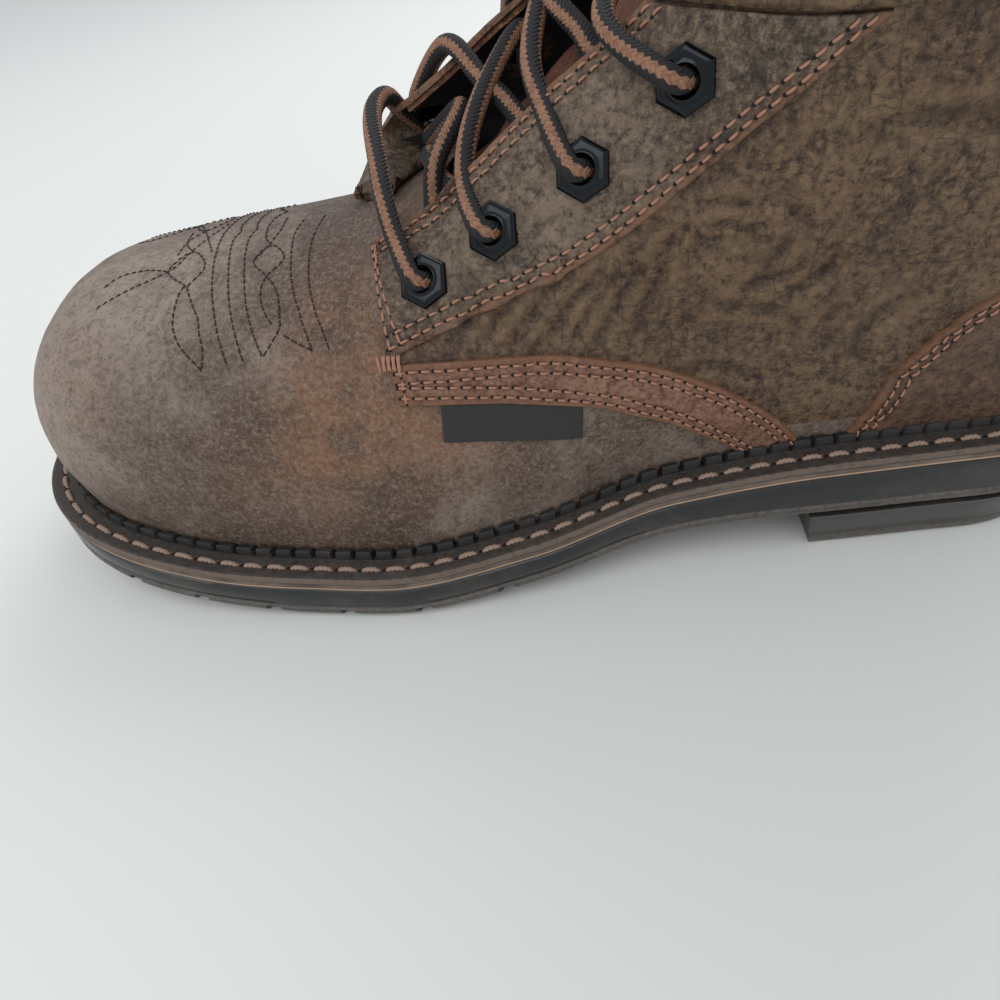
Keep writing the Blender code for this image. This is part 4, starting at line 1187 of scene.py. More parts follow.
AMBER_SPOTS = (
    # along, level, side, reach, strength
    (0.64, 0.7, 1, 0.018, 1.0), (0.66, 0.56, 1, 0.022, 0.8), (0.63, 0.86, 1, 0.016, 0.6),
    (0.56, 0.52, 1, 0.016, 0.6), (0.72, 0.43, 1, 0.016, 0.4), (0.89, 0.7, 1, 0.02, 0.3),
)
PALE_SPOTS = (
    # along, level, side, reach, strength
    (0.93, 0.6, 1, 0.026, 1.0), (0.87, 0.85, 1, 0.026, 0.9), (0.8, 0.9, 1, 0.024, 0.8),
    (0.93, 0.6, -1, 0.03, 0.8),
)
base_amber, base_pale = np.zeros(base.shape[:2]), np.zeros(base.shape[:2])
for along, level, side, reach, strength in PALE_SPOTS:
    base_pale += strength * near(base, on_skin(along, level, side), reach)
for along, level, side, reach, strength in AMBER_SPOTS:
    base_amber += strength * near(base, on_skin(along, level, side), reach)
fold = fold_relief(base, CREASES)
# Painted shade in the crease troughs
base_crease_shade = np.clip(-fold / 0.0010, 0, 1)
# Painted highlight on the crease ridges
base_ridge_highlight = np.clip(fold / 0.0004, 0, 1)
traits = {
    "amber": np.clip(base_amber, 0, 1).ravel(),
    "pale": np.clip(base_pale, 0, 1).ravel(),
    "deep": base_crease_shade.ravel(),
    "worn": base_ridge_highlight.ravel(),
    "edge": np.zeros(base.shape[:2]).ravel(),
}
size = base.shape[:2]
add_piece("vamp", base, grid_faces(*size, wall_quads & in_vamp), vamp_finish,
          ["upper"], traits)
add_piece("quarters", base, grid_faces(*size, wall_quads & ~in_vamp), quarter_finish,
          ["upper"], traits)

inside = base - base_normals * SHEET_WALL
coarse_rows = np.unique(np.append(np.arange(0, size[0], 2), [CLOSED_ROWS, size[0] - 1]))
coarse_cols = np.arange(0, size[1], 2)
coarse = inside[np.ix_(coarse_rows, coarse_cols)]
coarse_open = (coarse_rows[:-1, None] >= CLOSED_ROWS) & (
    (coarse_cols[None, :-1] >= MIDDLE - OVER_COLUMNS)
    & (coarse_cols[None, :-1] < MIDDLE + OVER_COLUMNS)
)
past_place = past_flap(coarse, 0.0045) & (coarse_rows[:, None] >= CLOSED_ROWS)
coarse_past = past_place[:-1, :-1] | past_place[1:, :-1] | past_place[:-1, 1:] | past_place[1:, 1:]
coarse_keep = ~coarse_open & ~coarse_past & quad_mask(clear_of_holes(coarse, 0.0036))
add_piece("lining", coarse, grid_faces(*coarse.shape[:2], coarse_keep, flip=True), lining_finish,
          ["upper"])


def rim(outer, inner, count=5):
    """Rounded raw edge from an outer line of points to an inner one."""
    rows = [outer * (1 - t) + inner * t for t in np.linspace(0, 1, count)]
    return np.array(rows)


rim_parts, rim_faces, rim_start = [], [], 0
for column in (MIDDLE - OVER_COLUMNS, MIDDLE + OVER_COLUMNS):
    trimmed = np.flatnonzero(past_flap(base[CLOSED_ROWS:, column]))
    rows_here = slice(CLOSED_ROWS + (trimmed[-1] + 1 if len(trimmed) else 0), None)
    part = rim(base[rows_here, column], inside[rows_here, column])
    rim_faces.append(grid_faces(*part.shape[:2], flip=column < MIDDLE, offset=rim_start))
    rim_parts.append(part.reshape(-1, 3))
    rim_start += part.shape[0] * part.shape[1]
for low, high in ((0, MIDDLE - OVER_COLUMNS), (MIDDLE + OVER_COLUMNS, size[1] - 1)):
    part = rim(base[-1, low : high + 1], inside[-1, low : high + 1])
    rim_faces.append(grid_faces(*part.shape[:2], offset=rim_start))
    rim_parts.append(part.reshape(-1, 3))
    rim_start += part.shape[0] * part.shape[1]
add_piece("raw_rims", np.concatenate(rim_parts), np.concatenate(rim_faces), raw_finish,
          ["upper"])

# The vamp's end, which runs in under the facings ahead of the tongue
LIP_ROWS = 11
lip_cols = slice(MIDDLE - OVER_COLUMNS - 6, MIDDLE + OVER_COLUMNS + 7)
lip = base[CLOSED_ROWS - 3 : CLOSED_ROWS + LIP_ROWS, lip_cols].copy()
mirrored = base[CLOSED_ROWS - 3 : CLOSED_ROWS + LIP_ROWS, MIDDLE : MIDDLE + OVER_COLUMNS + 7]
flipped = mirrored[:, :0:-1].copy()
flipped[..., 1] = 2 * RIDGE_OFFSET - flipped[..., 1]
lip[:, : OVER_COLUMNS + 6] = flipped
sink = np.linspace(0.0004, 0.0042, lip.shape[0])
lip -= grid_normals(lip) * sink[:, None, None]
lip_traits = {"amber": np.full(lip.shape[:2], 0.35).ravel()}
add_piece("vamp_lip", lip, grid_faces(*lip.shape[:2]), vamp_finish, ["upper"],
          lip_traits)


# Overlays
STRAP_FRONT = 0.610


def eyestay_lines(side):
    front = FACING_FRONT[side] - (FLAP_FRONT_TRIM if side < 0 else 0.0)
    lower = side_line([(front, FACING_FOOT_LEVEL)] + list(EYESTAY_LOWER))
    seam = CUFF_SEAM_LEVEL - 0.006
    upper = [(front * LENGTH, level_height(THROAT_FRONT[side]))]
    for level in np.linspace(THROAT_START[side], seam, 14):
        z = level_height(level)
        upper.append((place_at(z, throat_half(z) + 0.0002, side), z))
    return lower, resample(upper, 60)


FLAP_FRONT_TRIM = 0.010
THROAT_FRONT = {1: 0.945, -1: 1.020}
THROAT_START = {1: 0.957, -1: 1.135}
overlay_holes = []
eyestay = {}
for side in (1, -1):
    lower, upper = eyestay_lines(side)
    eyestay[side] = Patch(lower, upper, side, 0.0014, 0.0011,
                          ((False, 0.0021), (False, 0.0048), (True, 0.0022), (True, 0.0050)))
straps = {}
strap_low = [(0.606, 0.658)] + list(STRAP_LOWER)[:-1] + [(0.330, 0.350)]
strap_high = [(STRAP_FRONT, 0.752)] + list(STRAP_UPPER)[::-1][:-1] + [(0.275, 0.350)]
for side in (1, -1):
    straps[side] = Patch(side_line(strap_low), side_line(strap_high), side, 0.0014, 0.0011,
                         ((False, 0.0020), (False, 0.0046), (True, 0.0020), (True, 0.0046)))


def piece_of(patch, name, finish, node, lift=None, closed=False):
    """Mesh of a patch, cut open at the eyelets; a closed one has its own underside."""
    extra = 0.0 if lift is None else lift(patch)
    top = patch.points + patch.normals * (patch.height + extra)[..., None]
    rows, columns = top.shape[:2]
    keep = quad_mask(clear_of_holes(patch.points))
    faces = grid_faces(rows, columns, keep)
    row, column = rows // 2, columns // 2
    turn = np.cross(top[row + 1, column] - top[row, column], top[row, column + 1] - top[row, column])
    wrong = np.dot(turn, patch.normals[row, column]) > 0
    verts, edge = top.reshape(-1, 3), np.minimum(patch.real, patch.total - patch.real)
    edge = np.clip(1.3 - np.minimum(edge, patch.u[:, None]) / 0.0030, 0, 1)
    if closed:
        shift = extra if lift is None else np.asarray(extra)
        low = patch.points + patch.normals * (shift - 0.0003)[..., None]
        verts = np.concatenate([verts, low.reshape(-1, 3)])
        faces = np.concatenate([faces, grid_faces(rows, columns, keep, True, rows * columns)])
        edge = np.concatenate([edge.ravel(), edge.ravel()])
    if wrong:
        faces = faces[:, ::-1]
    fold_here = fold_relief(patch.points, CREASES)
    if closed:
        fold_here = np.concatenate([fold_here.ravel()] * 2)
    traits = {
        "edge": np.ravel(edge),
        # Painted shade in the crease troughs
        "deep": np.clip(-np.ravel(fold_here) / 0.0012, 0, 1),
        # Painted highlight on the crease ridges
        "worn": np.clip(np.ravel(fold_here) / 0.0004, 0, 1),
        "amber": np.zeros(len(verts)),
    }
    return add_piece(name, verts, faces, finish, [node], traits)


def flap_lift(patch):
    across = np.abs(patch.points[..., 1] - RIDGE_OFFSET) / (BALL_WIDTH / 2)
    along = patch.points[..., 0] / LENGTH
    out = np.zeros(along.shape)
    for k in range(out.shape[0]):
        for m in range(out.shape[1]):
            out[k, m] = ease(along[k, m], *FLAP_LIFT_ALONG) * ease(across[k, m], *FLAP_LIFT_ACROSS)
    return FLAP_LIFT * out


piece_of(eyestay[1], "facing_outer", eyestay_finish, "eyestay_outer")
piece_of(eyestay[-1], "facing_inner", eyestay_finish, "eyestay_inner",
         flap_lift, True)
piece_of(straps[1], "band_outer", strap_finish, "strap_outer")
piece_of(straps[-1], "band_inner", strap_finish, "strap_inner")

tag_low = side_line([(0.576, 0.546), (0.520, 0.521), (0.464, 0.492)])
tag_high = side_line([(0.574, 0.650), (0.529, 0.642), (0.463, 0.596)])
tag = Patch(tag_low, tag_high, 1, 0.0009, 0.0010)
piece_of(tag, "bare_tag", tag_finish, "side_tag")


def level_loop(z, side):
    level = height_level(z)
    section = (heel_back(z) / LENGTH, level, ridge_x(z) / LENGTH, level, 0.0)
    return section_loop(section, side)


# Heel counter: level rows from its outer front edge round the heel to the inner one
COUNTER_FRONT = (
    # level, along
    (0.35, 0.243), (0.385, 0.24), (0.45, 0.231), (0.53, 0.226), (0.74, 0.182), (0.9, 0.11),
    (1.04, 0.05), (1.085, 0.036),
)
COUNTER_LAYER = 0.0014
COUNTER_COLUMNS = 190
counter_top = level_height(1.085)
counter_rows = []
counter_foot = level_height(0.350)
counter_marks = marks_along(counter_top - counter_foot, 0.0013)
for mark in counter_marks:
    z = counter_foot + mark
    front = LENGTH * smooth(COUNTER_FRONT, 1, height_level(z))
    halves = []
    for side in (1, -1):
        loop = np.array(level_loop(z, side))
        loop = loop[loop[:, 0] < max(front, heel_back(z) + 0.0004)]
        halves.append(loop)
    counter_rows.append(np.concatenate([halves[0], halves[1][::-1]]))
counter_width = np.linalg.norm(np.diff(counter_rows[0], axis=0), axis=1).sum()
counter_spread = marks_along(counter_width, counter_width / COUNTER_COLUMNS)
counter = np.array([trace(row, counter_spread) for row in counter_rows])
counter_normals = np.zeros(counter.shape)
for k in range(counter.shape[0]):
    for m in range(counter.shape[1]):
        counter[k, m], counter_normals[k, m] = snap(counter[k, m])
counter_scale = np.array([
    np.linalg.norm(np.diff(row, axis=0), axis=1).sum() / counter_width for row in counter
])
counter_gap = np.minimum(counter_spread, counter_width - counter_spread)[None, :]
counter_gap = counter_gap * counter_scale[:, None]
side_rise = np.interp(counter_gap, EDGE_STEPS, EDGE_HEIGHTS)
side_rise[:, 0] = side_rise[:, -1] = EDGE_HEIGHTS[0]
counter_rise = np.minimum(side_rise, edge_profile(counter_marks)[:, None]) * COUNTER_LAYER
for inset in (0.0024, 0.0050):
    counter_rise -= 0.00025 * np.exp(-(((counter_gap - inset) / 0.0008) ** 2))
counter_face = counter + counter_normals * counter_rise[..., None]
counter_traits = {"edge": np.clip(1 - counter_gap / 0.0024, 0, 1).ravel()}
add_piece("heel_patch", counter_face, grid_faces(*counter.shape[:2]), counter_finish,
          ["heel_counter"], counter_traits)


def counter_seam(inset):
    lines = []
    for end in (1, -1):
        line = []
        for k in range(4, len(counter_marks) - 3):
            share = inset / max(counter_scale[k], 0.02)
            if share > counter_width / 2:
                break
            at = share if end > 0 else counter_width - share
            column = int(np.argmin(np.abs(counter_spread - at)))
            spot = counter[k, column] + counter_normals[k, column] * COUNTER_LAYER
            line.append((spot, counter_normals[k, column]))
        lines.append(line)
    return lines


# Cuff: a padded band that rolls over the collar
CUFF_LAYER = 0.0030
CUFF_STEPS = 44
CUFF_COLUMNS = 300
seam_z = level_height(CUFF_SEAM_LEVEL)
start = (heel_back(seam_z) / LENGTH, CUFF_SEAM_LEVEL, ridge_x(seam_z) / LENGTH, CUFF_SEAM_LEVEL, 0)
cuff_rows = []
for step in range(CUFF_STEPS + 1):
    share = step / CUFF_STEPS
    back = start[1] + (SECTIONS[-1][1] - start[1]) * share
    front = start[3] + (SECTIONS[-1][3] - start[3]) * share
    section = (
        heel_back(level_height(back)) / LENGTH, back,
        ridge_x(level_height(front)) / LENGTH, front, 0.0,
    )
    halves = []
    for side in (1, -1):
        loop = section_loop(section, side)
        first, edge = split_at(loop, throat_half(loop[0][2]) + 0.0004)
        halves.append(np.array([edge] + loop[first:]))
    cuff_rows.append(np.concatenate([halves[0], halves[1][-2::-1]]))
cuff_width = np.linalg.norm(np.diff(cuff_rows[0], axis=0), axis=1).sum()
cuff_spread = marks_along(cuff_width, cuff_width / CUFF_COLUMNS)
cuff = np.array([trace(row, cuff_spread) for row in cuff_rows])
cuff_turn = np.cross(np.gradient(cuff, axis=1), np.gradient(cuff, axis=0))
cuff_turn /= np.linalg.norm(cuff_turn, axis=-1, keepdims=True)
outward = cuff[10, 20] - cuff[10].mean(axis=0)
if np.dot(cuff_turn[10, 20], outward) < 0:
    cuff_turn = -cuff_turn
cuff_ends = edge_profile(cuff_spread)[None, :]
shares = np.linspace(0, 1, CUFF_STEPS + 1)[:, None]
cuff_puff = 0.35 + 0.65 * np.sin(np.pi * np.clip(0.10 + shares * 0.75, 0, 1)) ** 0.7
layers, roll = [], []
cuff_low = cuff[:1] - cuff_turn[:1] * 0.0006
layers.append(cuff_low)
layers.append(cuff + cuff_turn * (CUFF_LAYER * np.minimum(cuff_ends, cuff_puff))[..., None])
top, top_turn = cuff[-1:], cuff_turn[-1:]
up = np.gradient(cuff, axis=0)[-1:]
up /= np.linalg.norm(up, axis=-1, keepdims=True)
rise_now = (CUFF_LAYER * np.minimum(cuff_ends, cuff_puff[-1]))[..., None]
half_thick = (rise_now + SHEET_WALL + 0.0010) / 2
for angle in np.linspace(0.25, math.pi, 9):
    centre = top + top_turn * (rise_now - half_thick)
    layers.append(centre + top_turn * half_thick * math.cos(angle) + up * half_thick * math.sin(angle))
for depth in (0.004, 0.009, 0.014):
    layers.append(layers[-1] - up * 0.005 if depth > 0.004 else layers[-1] - up * 0.004)
cuff_face = np.concatenate(layers)
cuff_keep = np.ones(cuff_face.shape[:2], dtype=bool)
cuff_keep[:] = clear_of_holes(cuff_face, 0.0042)
turned = cuff_face + 0.0
# On the cuff the darkening attribute carries only mottle from noise
add_piece("cuff_band", turned, grid_faces(*cuff_face.shape[:2], quad_mask(cuff_keep)),
          quarter_finish, ["cuff"],
          {"deep": np.clip(rough(cuff_face, 0.010, 5) - 0.15, 0, 1).ravel()})
cuff_seams = []
for number in (3, 5):
    line = [(cuff_face[number, m], cuff_turn[number, m]) for m in range(4, cuff.shape[1] - 4, 2)]
    cuff_seams.append(line)

# Seams
seam_lines = []
for side in (1, -1):
    patch = eyestay[side]
    seam_lines.append(patch.run(False, 0.0021, 0.035))
    seam_lines.append(patch.run(False, 0.0048, 0.06))
    seam_lines.append(patch.run(True, 0.0022, 0.03))
    seam_lines.append(patch.run(True, 0.0050, 0.05))
    if side > 0:
        seam_lines.append(patch.across(0.0022, 0.12, 0.93))
        seam_lines.append(patch.across(0.0056, 0.12, 0.88))
strap_seams = []
for side in (1, -1):
    patch = straps[side]
    strap_seams.append(patch.run(False, 0.0020, 0.01))
    strap_seams.append(patch.run(False, 0.0046, 0.03))
    strap_seams.append(patch.run(True, 0.0020, 0.02))
    strap_seams.append(patch.run(True, 0.0046, 0.03))
    strap_seams.append(patch.across(0.0022, 0.10, 0.90))
holes = add_stitches("facing_seams", seam_lines, thread_finish, "quarter_leather")
holes += add_stitches("band_seams", strap_seams, thread_finish, "strap_leather")
holes += add_stitches("heel_seams", counter_seam(0.0024) + counter_seam(0.0050), thread_finish,
                      "quarter_leather")
holes += add_stitches("cuff_seams", cuff_seams, thread_finish, "quarter_leather")
add_hole_shades("seam_hole_shade", holes, 0.00048, hole_shade_finish)

# Bar tack at the facing's foot, as a small cluster of crossed threads
tack_lines = []
tack_middle, tack_normal = drape(0.6085 * LENGTH, level_height(0.757), 1)
tack_side = np.cross(tack_normal, [0.0, 0.0, 1.0])
tack_side /= np.linalg.norm(tack_side)
tack_up = np.cross(tack_side, tack_normal)
for k in range(9):
    low = tack_middle + tack_side * (0.0006 * (k - 4)) - tack_up * 0.0020
    high = low + tack_up * 0.0042 + tack_side * 0.0006 * (-1) ** k
    out = tack_normal * 0.0015
    tack_lines.append([(low + out, tack_normal), ((low + high) / 2 + out * 1.15, tack_normal),
                       (high + out, tack_normal)])
add_stitches("bar_tack", tack_lines, thread_finish, "strap_leather", 0.0042, 0.0001, 0.00034,
             0.0003)

# Western toe stitching: arched rows, leaves and two small diamonds, the same on both sides.
# Places are shares along the boot and shares of the way down from the middle line, 1 at the foot
TOE_ROWS = (
    ((0.670, 0.00), (0.675, 0.30), (0.673, 0.62), (0.667, 0.82), (0.661, 0.93), (0.656, 1.02)),
    ((0.689, 0.00), (0.693, 0.20), (0.688, 0.60), (0.679, 0.84), (0.674, 0.94), (0.670, 1.01)),
    ((0.732, -0.02), (0.735, 0.16), (0.731, 0.45), (0.725, 0.72), (0.719, 0.88), (0.711, 1.01)),
    ((0.747, 0.00), (0.750, 0.14), (0.744, 0.49), (0.738, 0.75), (0.731, 0.94), (0.727, 1.02)),
    ((0.764, 0.00), (0.762, 0.22), (0.757, 0.55), (0.750, 0.81), (0.746, 0.92), (0.741, 1.02)),
    ((0.670, 1.01), (0.682, 0.97), (0.694, 0.92)),
    ((0.710, 0.55), (0.703, 0.62), (0.698, 0.71), (0.696, 0.82), (0.697, 0.90), (0.711, 1.01)),
    ((0.710, 0.55), (0.713, 0.62), (0.713, 0.69), (0.710, 0.77), (0.705, 0.84), (0.701, 0.87)),
    ((0.710, 0.55), (0.697, 0.42), (0.711, 0.27), (0.724, 0.40), (0.710, 0.55)),
    ((0.711, 0.27), (0.719, 0.16), (0.722, 0.00)),
    ((0.724, 0.40), (0.714, 0.26), (0.708, 0.10), (0.707, -0.10)),
    ((0.780, 0.52), (0.773, 0.65), (0.766, 0.76), (0.764, 0.85), (0.761, 0.94), (0.763, 1.02)),
    ((0.763, 1.02), (0.778, 0.92), (0.785, 0.84), (0.788, 0.75), (0.786, 0.56), (0.781, 0.50)),
    ((0.780, 0.52), (0.768, 0.36), (0.786, 0.16), (0.802, 0.34), (0.780, 0.52)),
    ((0.786, 0.16), (0.797, 0.02), (0.800, -0.18)),
    ((0.865, 0.52), (0.840, 0.44), (0.802, 0.34), (0.790, 0.20), (0.778, 0.00), (0.766, -0.22)),
    ((0.865, 0.33), (0.850, 0.26), (0.825, 0.27), (0.802, 0.34)),
)
TOE_REACH = 0.0398
# On the inner side the rows are kept ahead of this share of the length, clear of the flap
FAR_ROWS_AHEAD = 0.712


def on_vamp(along, down, side):
    """Place on the vamp a share of TOE_REACH away from the middle line, looked at from above."""
    x = along * LENGTH
    y = RIDGE_OFFSET + side * down * TOE_REACH
    hit = drape_tree.ray_cast(Vector((x, y, 0.3)), Vector((0, 0, -1)))
    return np.array(hit[0]), blend_normal(hit[0], hit[2])


toe_lines = []
for side in (1, -1):
    for row in TOE_ROWS:
        flat = smooth_line(row, 40)
        if side < 0:
            flat = [mark for mark in flat if mark[0] > FAR_ROWS_AHEAD]
        if len(flat) < 3:
            continue
        toe_lines.append([on_vamp(a, d, side) for a, d in flat])
toe_holes = add_stitches("toe_stitching", toe_lines, dark_thread, "vamp_leather", 0.0016, 0.0004,
                         0.00024, 0.0004, sides=5, rings=5)
add_hole_shades("toe_hole_shade", toe_holes, 0.00045, hole_shade_finish)


# Tongue: the arch over the throat, dropped inside and rolled at its edges
TONGUE_FIRST = CLOSED_ROWS - 16
arch = base[TONGUE_FIRST:, MIDDLE : MIDDLE + OVER_COLUMNS + 9].copy()
arch[: CLOSED_ROWS - TONGUE_FIRST + 1] = base[TONGUE_FIRST : CLOSED_ROWS + 1,
                                              MIDDLE : MIDDLE + OVER_COLUMNS + 9]
other = arch[:, :0:-1].copy()
middle_line = arch[:, :1, 1]
other[..., 1] = 2 * middle_line - other[..., 1]
tongue = np.concatenate([other, arch], axis=1)
crown_steps = 12
crown = [tongue[-1] + np.array([-0.2, 0.0, 1.0]) * TONGUE_RISE * k / crown_steps
         for k in range(1, crown_steps + 1)]
tongue = np.concatenate([tongue, np.array(crown)])
for _ in range(6):
    tongue[1:-1, 1:-1] += 0.5 * (
        (tongue[:-2, 1:-1] + tongue[2:, 1:-1] + tongue[1:-1, :-2] + tongue[1:-1, 2:]) / 4
        - tongue[1:-1, 1:-1]
    )
tongue_turn = grid_normals(tongue)
tongue_turn[:, 0], tongue_turn[:, -1] = tongue_turn[:, 1], tongue_turn[:, -2]
run_in = np.clip(np.arange(tongue.shape[0]) / 26, 0, 1)
drop = SHEET_WALL + TONGUE_SEAT + (TONGUE_DROP - SHEET_WALL - TONGUE_SEAT) * run_in**1.5
tongue -= tongue_turn * drop[:, None, None]
TONGUE_FOLDS = (
    # row share, slant, depth, width in rows
    (0.16, 5.0, 0.0008, 3.0), (0.27, -4.0, 0.0009, 3.2), (0.36, 3.0, 0.0007, 2.8),
    (0.46, -6.0, 0.0009, 3.4), (0.57, 4.0, 0.0006, 3.0), (0.70, -3.0, 0.0006, 3.0),
)
row_at = np.arange(tongue.shape[0])[:, None]
col_at = np.linspace(-1, 1, tongue.shape[1])[None, :]
folds = np.zeros(tongue.shape[:2])
for share, slant, depth, width in TONGUE_FOLDS:
    centre = share * tongue.shape[0] + slant * col_at + 2.0 * np.sin(3 * col_at + slant)
    gap = (row_at - centre) / width
    folds += depth * (-np.exp(-(gap**2)) + 0.5 * np.exp(-((np.abs(gap) - 2.0) ** 2)))
folds += rough(tongue, 0.012, 9) * 0.0004
tongue_face = tongue + tongue_turn * folds[..., None]
tongue_back = tongue - tongue_turn * TONGUE_THICKNESS
half = TONGUE_THICKNESS / 2
columns = [tongue_face[:, m] for m in range(tongue.shape[1])]
right_out = tongue[:, -1] - tongue[:, -2]
right_out /= np.linalg.norm(right_out, axis=1, keepdims=True)
left_out = tongue[:, 0] - tongue[:, 1]
left_out /= np.linalg.norm(left_out, axis=1, keepdims=True)


def roll_round(face, outward, turn, forward):
    made = []
    for angle in np.linspace(0.3, math.pi - 0.3, 5):
        made.append(face - turn * half * (1 - math.cos(angle)) + outward * half * math.sin(angle))
    return made if forward else made[::-1]


columns += roll_round(tongue_face[:, -1], right_out, tongue_turn[:, -1], True)
columns += [tongue_back[:, m] for m in range(tongue.shape[1] - 1, -1, -2)]
columns += roll_round(tongue_face[:, 0], left_out, tongue_turn[:, 0], False)
columns.append(columns[0])
tongue_tube = np.stack(columns, axis=1)
top_edge = tongue_tube[-1]
centre = (tongue_face[-1] + tongue_back[-1]).mean(axis=0) / 2
cap_mid = []
for m in range(tongue_tube.shape[1]):
    cap_mid.append(top_edge[m])
face_count = tongue.shape[1]
pull = np.array(cap_mid)
rise_top = np.array([0.0, 0.0, 0.0012])
mean_front = (tongue_face[-1] + tongue_back[-1]) / 2
nearest = [int(np.argmin(np.linalg.norm(mean_front - p, axis=1))) for p in pull]
soft = pull * 0.5 + mean_front[nearest] * 0.5 + rise_top
flat_top = mean_front[nearest] + rise_top * 1.3
tongue_tube = np.concatenate([tongue_tube, soft[None], flat_top[None]])
# Painted shade in the tongue's fold troughs
deep = np.zeros(tongue_tube.shape[:2])
deep[: tongue.shape[0], : tongue.shape[1]] = np.clip(-folds / 0.0008, 0, 1)
# Painted highlight on the tongue's fold ridges
worn = np.zeros(tongue_tube.shape[:2])
worn[: tongue.shape[0], : tongue.shape[1]] = np.clip(folds / 0.0005, 0, 1)
add_piece("tongue_leather", tongue_tube, grid_faces(*tongue_tube.shape[:2]), tongue_finish,
          ["tongue"], {"deep": deep.ravel(), "worn": worn.ravel()})


# Sole


def half_outline(inset, side):
    start, end = inset, LENGTH - inset
    points = []
    for k in range(721):
        x = start + (end - start) * (1 + math.cos(math.pi * k / 720)) / 2
        points.append((x, plan_centre(x) + side * plan_half(x, inset)))
    path = np.array(points)
    run = run_along(path)
    return path, run


class Edge:
    """The outsole's edge as shares from 0 at the toe round the outer side, 1 at the heel, to 2."""

    def __init__(self, shares):
        self.shares = np.asarray(shares) % 2.0
        self.cache = {}

    def ring(self, inset):
        key = round(inset * 1e6)
        if key not in self.cache:
            out = np.zeros((len(self.shares), 2))
            for side, share in ((1, self.shares), (-1, 2.0 - self.shares)):
                path, run = half_outline(inset, side)
                chosen = self.shares < 1.0 if side > 0 else self.shares >= 1.0
                want = share[chosen] * run[-1]
                for k in range(2):
                    out[chosen, k] = np.interp(want, run, path[:, k])
            self.cache[key] = out
        return self.cache[key]

    def lift(self, inset, height, rise):
        """Points of a ring; height is a function of x, rise a number or one for each point."""
        flat = self.ring(inset)
        base_height = np.array([height(x) for x in flat[:, 0]])
        return np.column_stack([flat, base_height + rise])


def wrap_faces(rings, count, flip=False):
    """Quads between closed rings."""
    faces = []
    for k in range(rings - 1):
        for m in range(count):
            n = (m + 1) % count
            quad = (k * count + m, k * count + n, (k + 1) * count + n, (k + 1) * count + m)
            faces.append(quad[::-1] if flip else quad)
    return np.array(faces)


half_length = half_outline(0.0, 1)[1][-1]
RIB_PITCH = 0.0062
rib_count = int(half_length / RIB_PITCH)
rib_steps = (0.0, 0.05, 0.28, 0.54, 0.76, 0.81)
rib_tall = (0.05, 1.15, 1.2, 1.2, 1.15, 0.05)
stations, tall = [], []
for k in range(2 * rib_count):
    for step, height in zip(rib_steps, rib_tall):
        stations.append((k + step) / rib_count)
        tall.append(height)
tall = np.array(tall)
welt_edge = Edge(stations)
LOW_WELT = -WELT_THICKNESS - CLEARANCE / 2
rib_in = LEDGE + RIB_WIDTH
welt_profile = [
    # inset, rise
    (rib_in + 0.0006, LOW_WELT), (0.0004, LOW_WELT), (0.0, LOW_WELT + 0.0004), (0.0, -0.0005),
    (0.00015, -0.00015), (0.0005, 0.0), (0.0016, 0.0), (0.0034, -0.00005), (0.0038, -0.0005),
    (0.0044, -0.0005), (0.0048, -0.00005), (0.0064, 0.0), (LEDGE - 0.0002, 0.0),
]
welt_rings = [welt_edge.lift(inset, welt_z, rise) for inset, rise in welt_profile]
for inset, share in ((LEDGE, 0.12), (LEDGE + 0.0001, 0.80), (LEDGE + 0.0005, 1.0),
                     (rib_in - 0.0004, 1.0), (rib_in, 0.85)):
    welt_rings.append(welt_edge.lift(inset, welt_z, RIB_HEIGHT * share * tall))
welt_rings.append(welt_edge.lift(rib_in + 0.0006, welt_z, LOW_WELT))
dusty = np.zeros((len(welt_rings), len(stations)))
dusty[13:18] = 0.04
dusty[5:13] = 0.30
dusty[1:5] = 1.3
add_piece("welt_rib", np.array(welt_rings), wrap_faces(len(welt_rings), len(stations), True),
          welt_finish, ["welt"], {"dusty": dusty.ravel()}, 35, True)

stitch_path = Edge(np.linspace(0, 2, 900, endpoint=False)).lift(0.0041, welt_z, -0.0001)
stitch_line = [(p, np.array([0.0, 0.0, 1.0])) for p in np.concatenate([stitch_path, stitch_path[:1]])]
welt_thread = plain("welt_thread", tone(158, 134, 118), 0.65, 2200.0, 0.00012)
welt_holes = add_stitches("welt_stitches", [stitch_line], welt_thread, "black_rubber", 0.0058, 0.0010,
                          0.00064, 0.0010, sides=12, rings=19, twist=2600.0)
add_hole_shades("welt_hole_shade", welt_holes, 0.0008, hole_shade_finish)

side_edge = Edge(np.linspace(0, 2, 760, endpoint=False))
BAND_ROWS = ((0.014, 0.0), (0.0004, 0.0), (0.0001, 0.10), (0.0, 0.30), (0.0, 0.56), (0.0001, 0.60),
             (0.0001, 0.66), (0.0001, 0.78), (0.0001, 0.84), (0.0001, 0.92), (0.0004, 1.0), (0.014, 1.0))
band_rings, band_drop = [], []
for inset, drop in BAND_ROWS:
    band_rings.append(side_edge.lift(inset + 0.0002, midsole_top, -drop * MIDSOLE_THICKNESS))
    band_drop.append(np.full(760, drop))
add_piece("sole_band", np.array(band_rings), wrap_faces(len(band_rings), 760), band_finish,
          ["midsole"], {"drop": np.array(band_drop).ravel()}, closed=True)

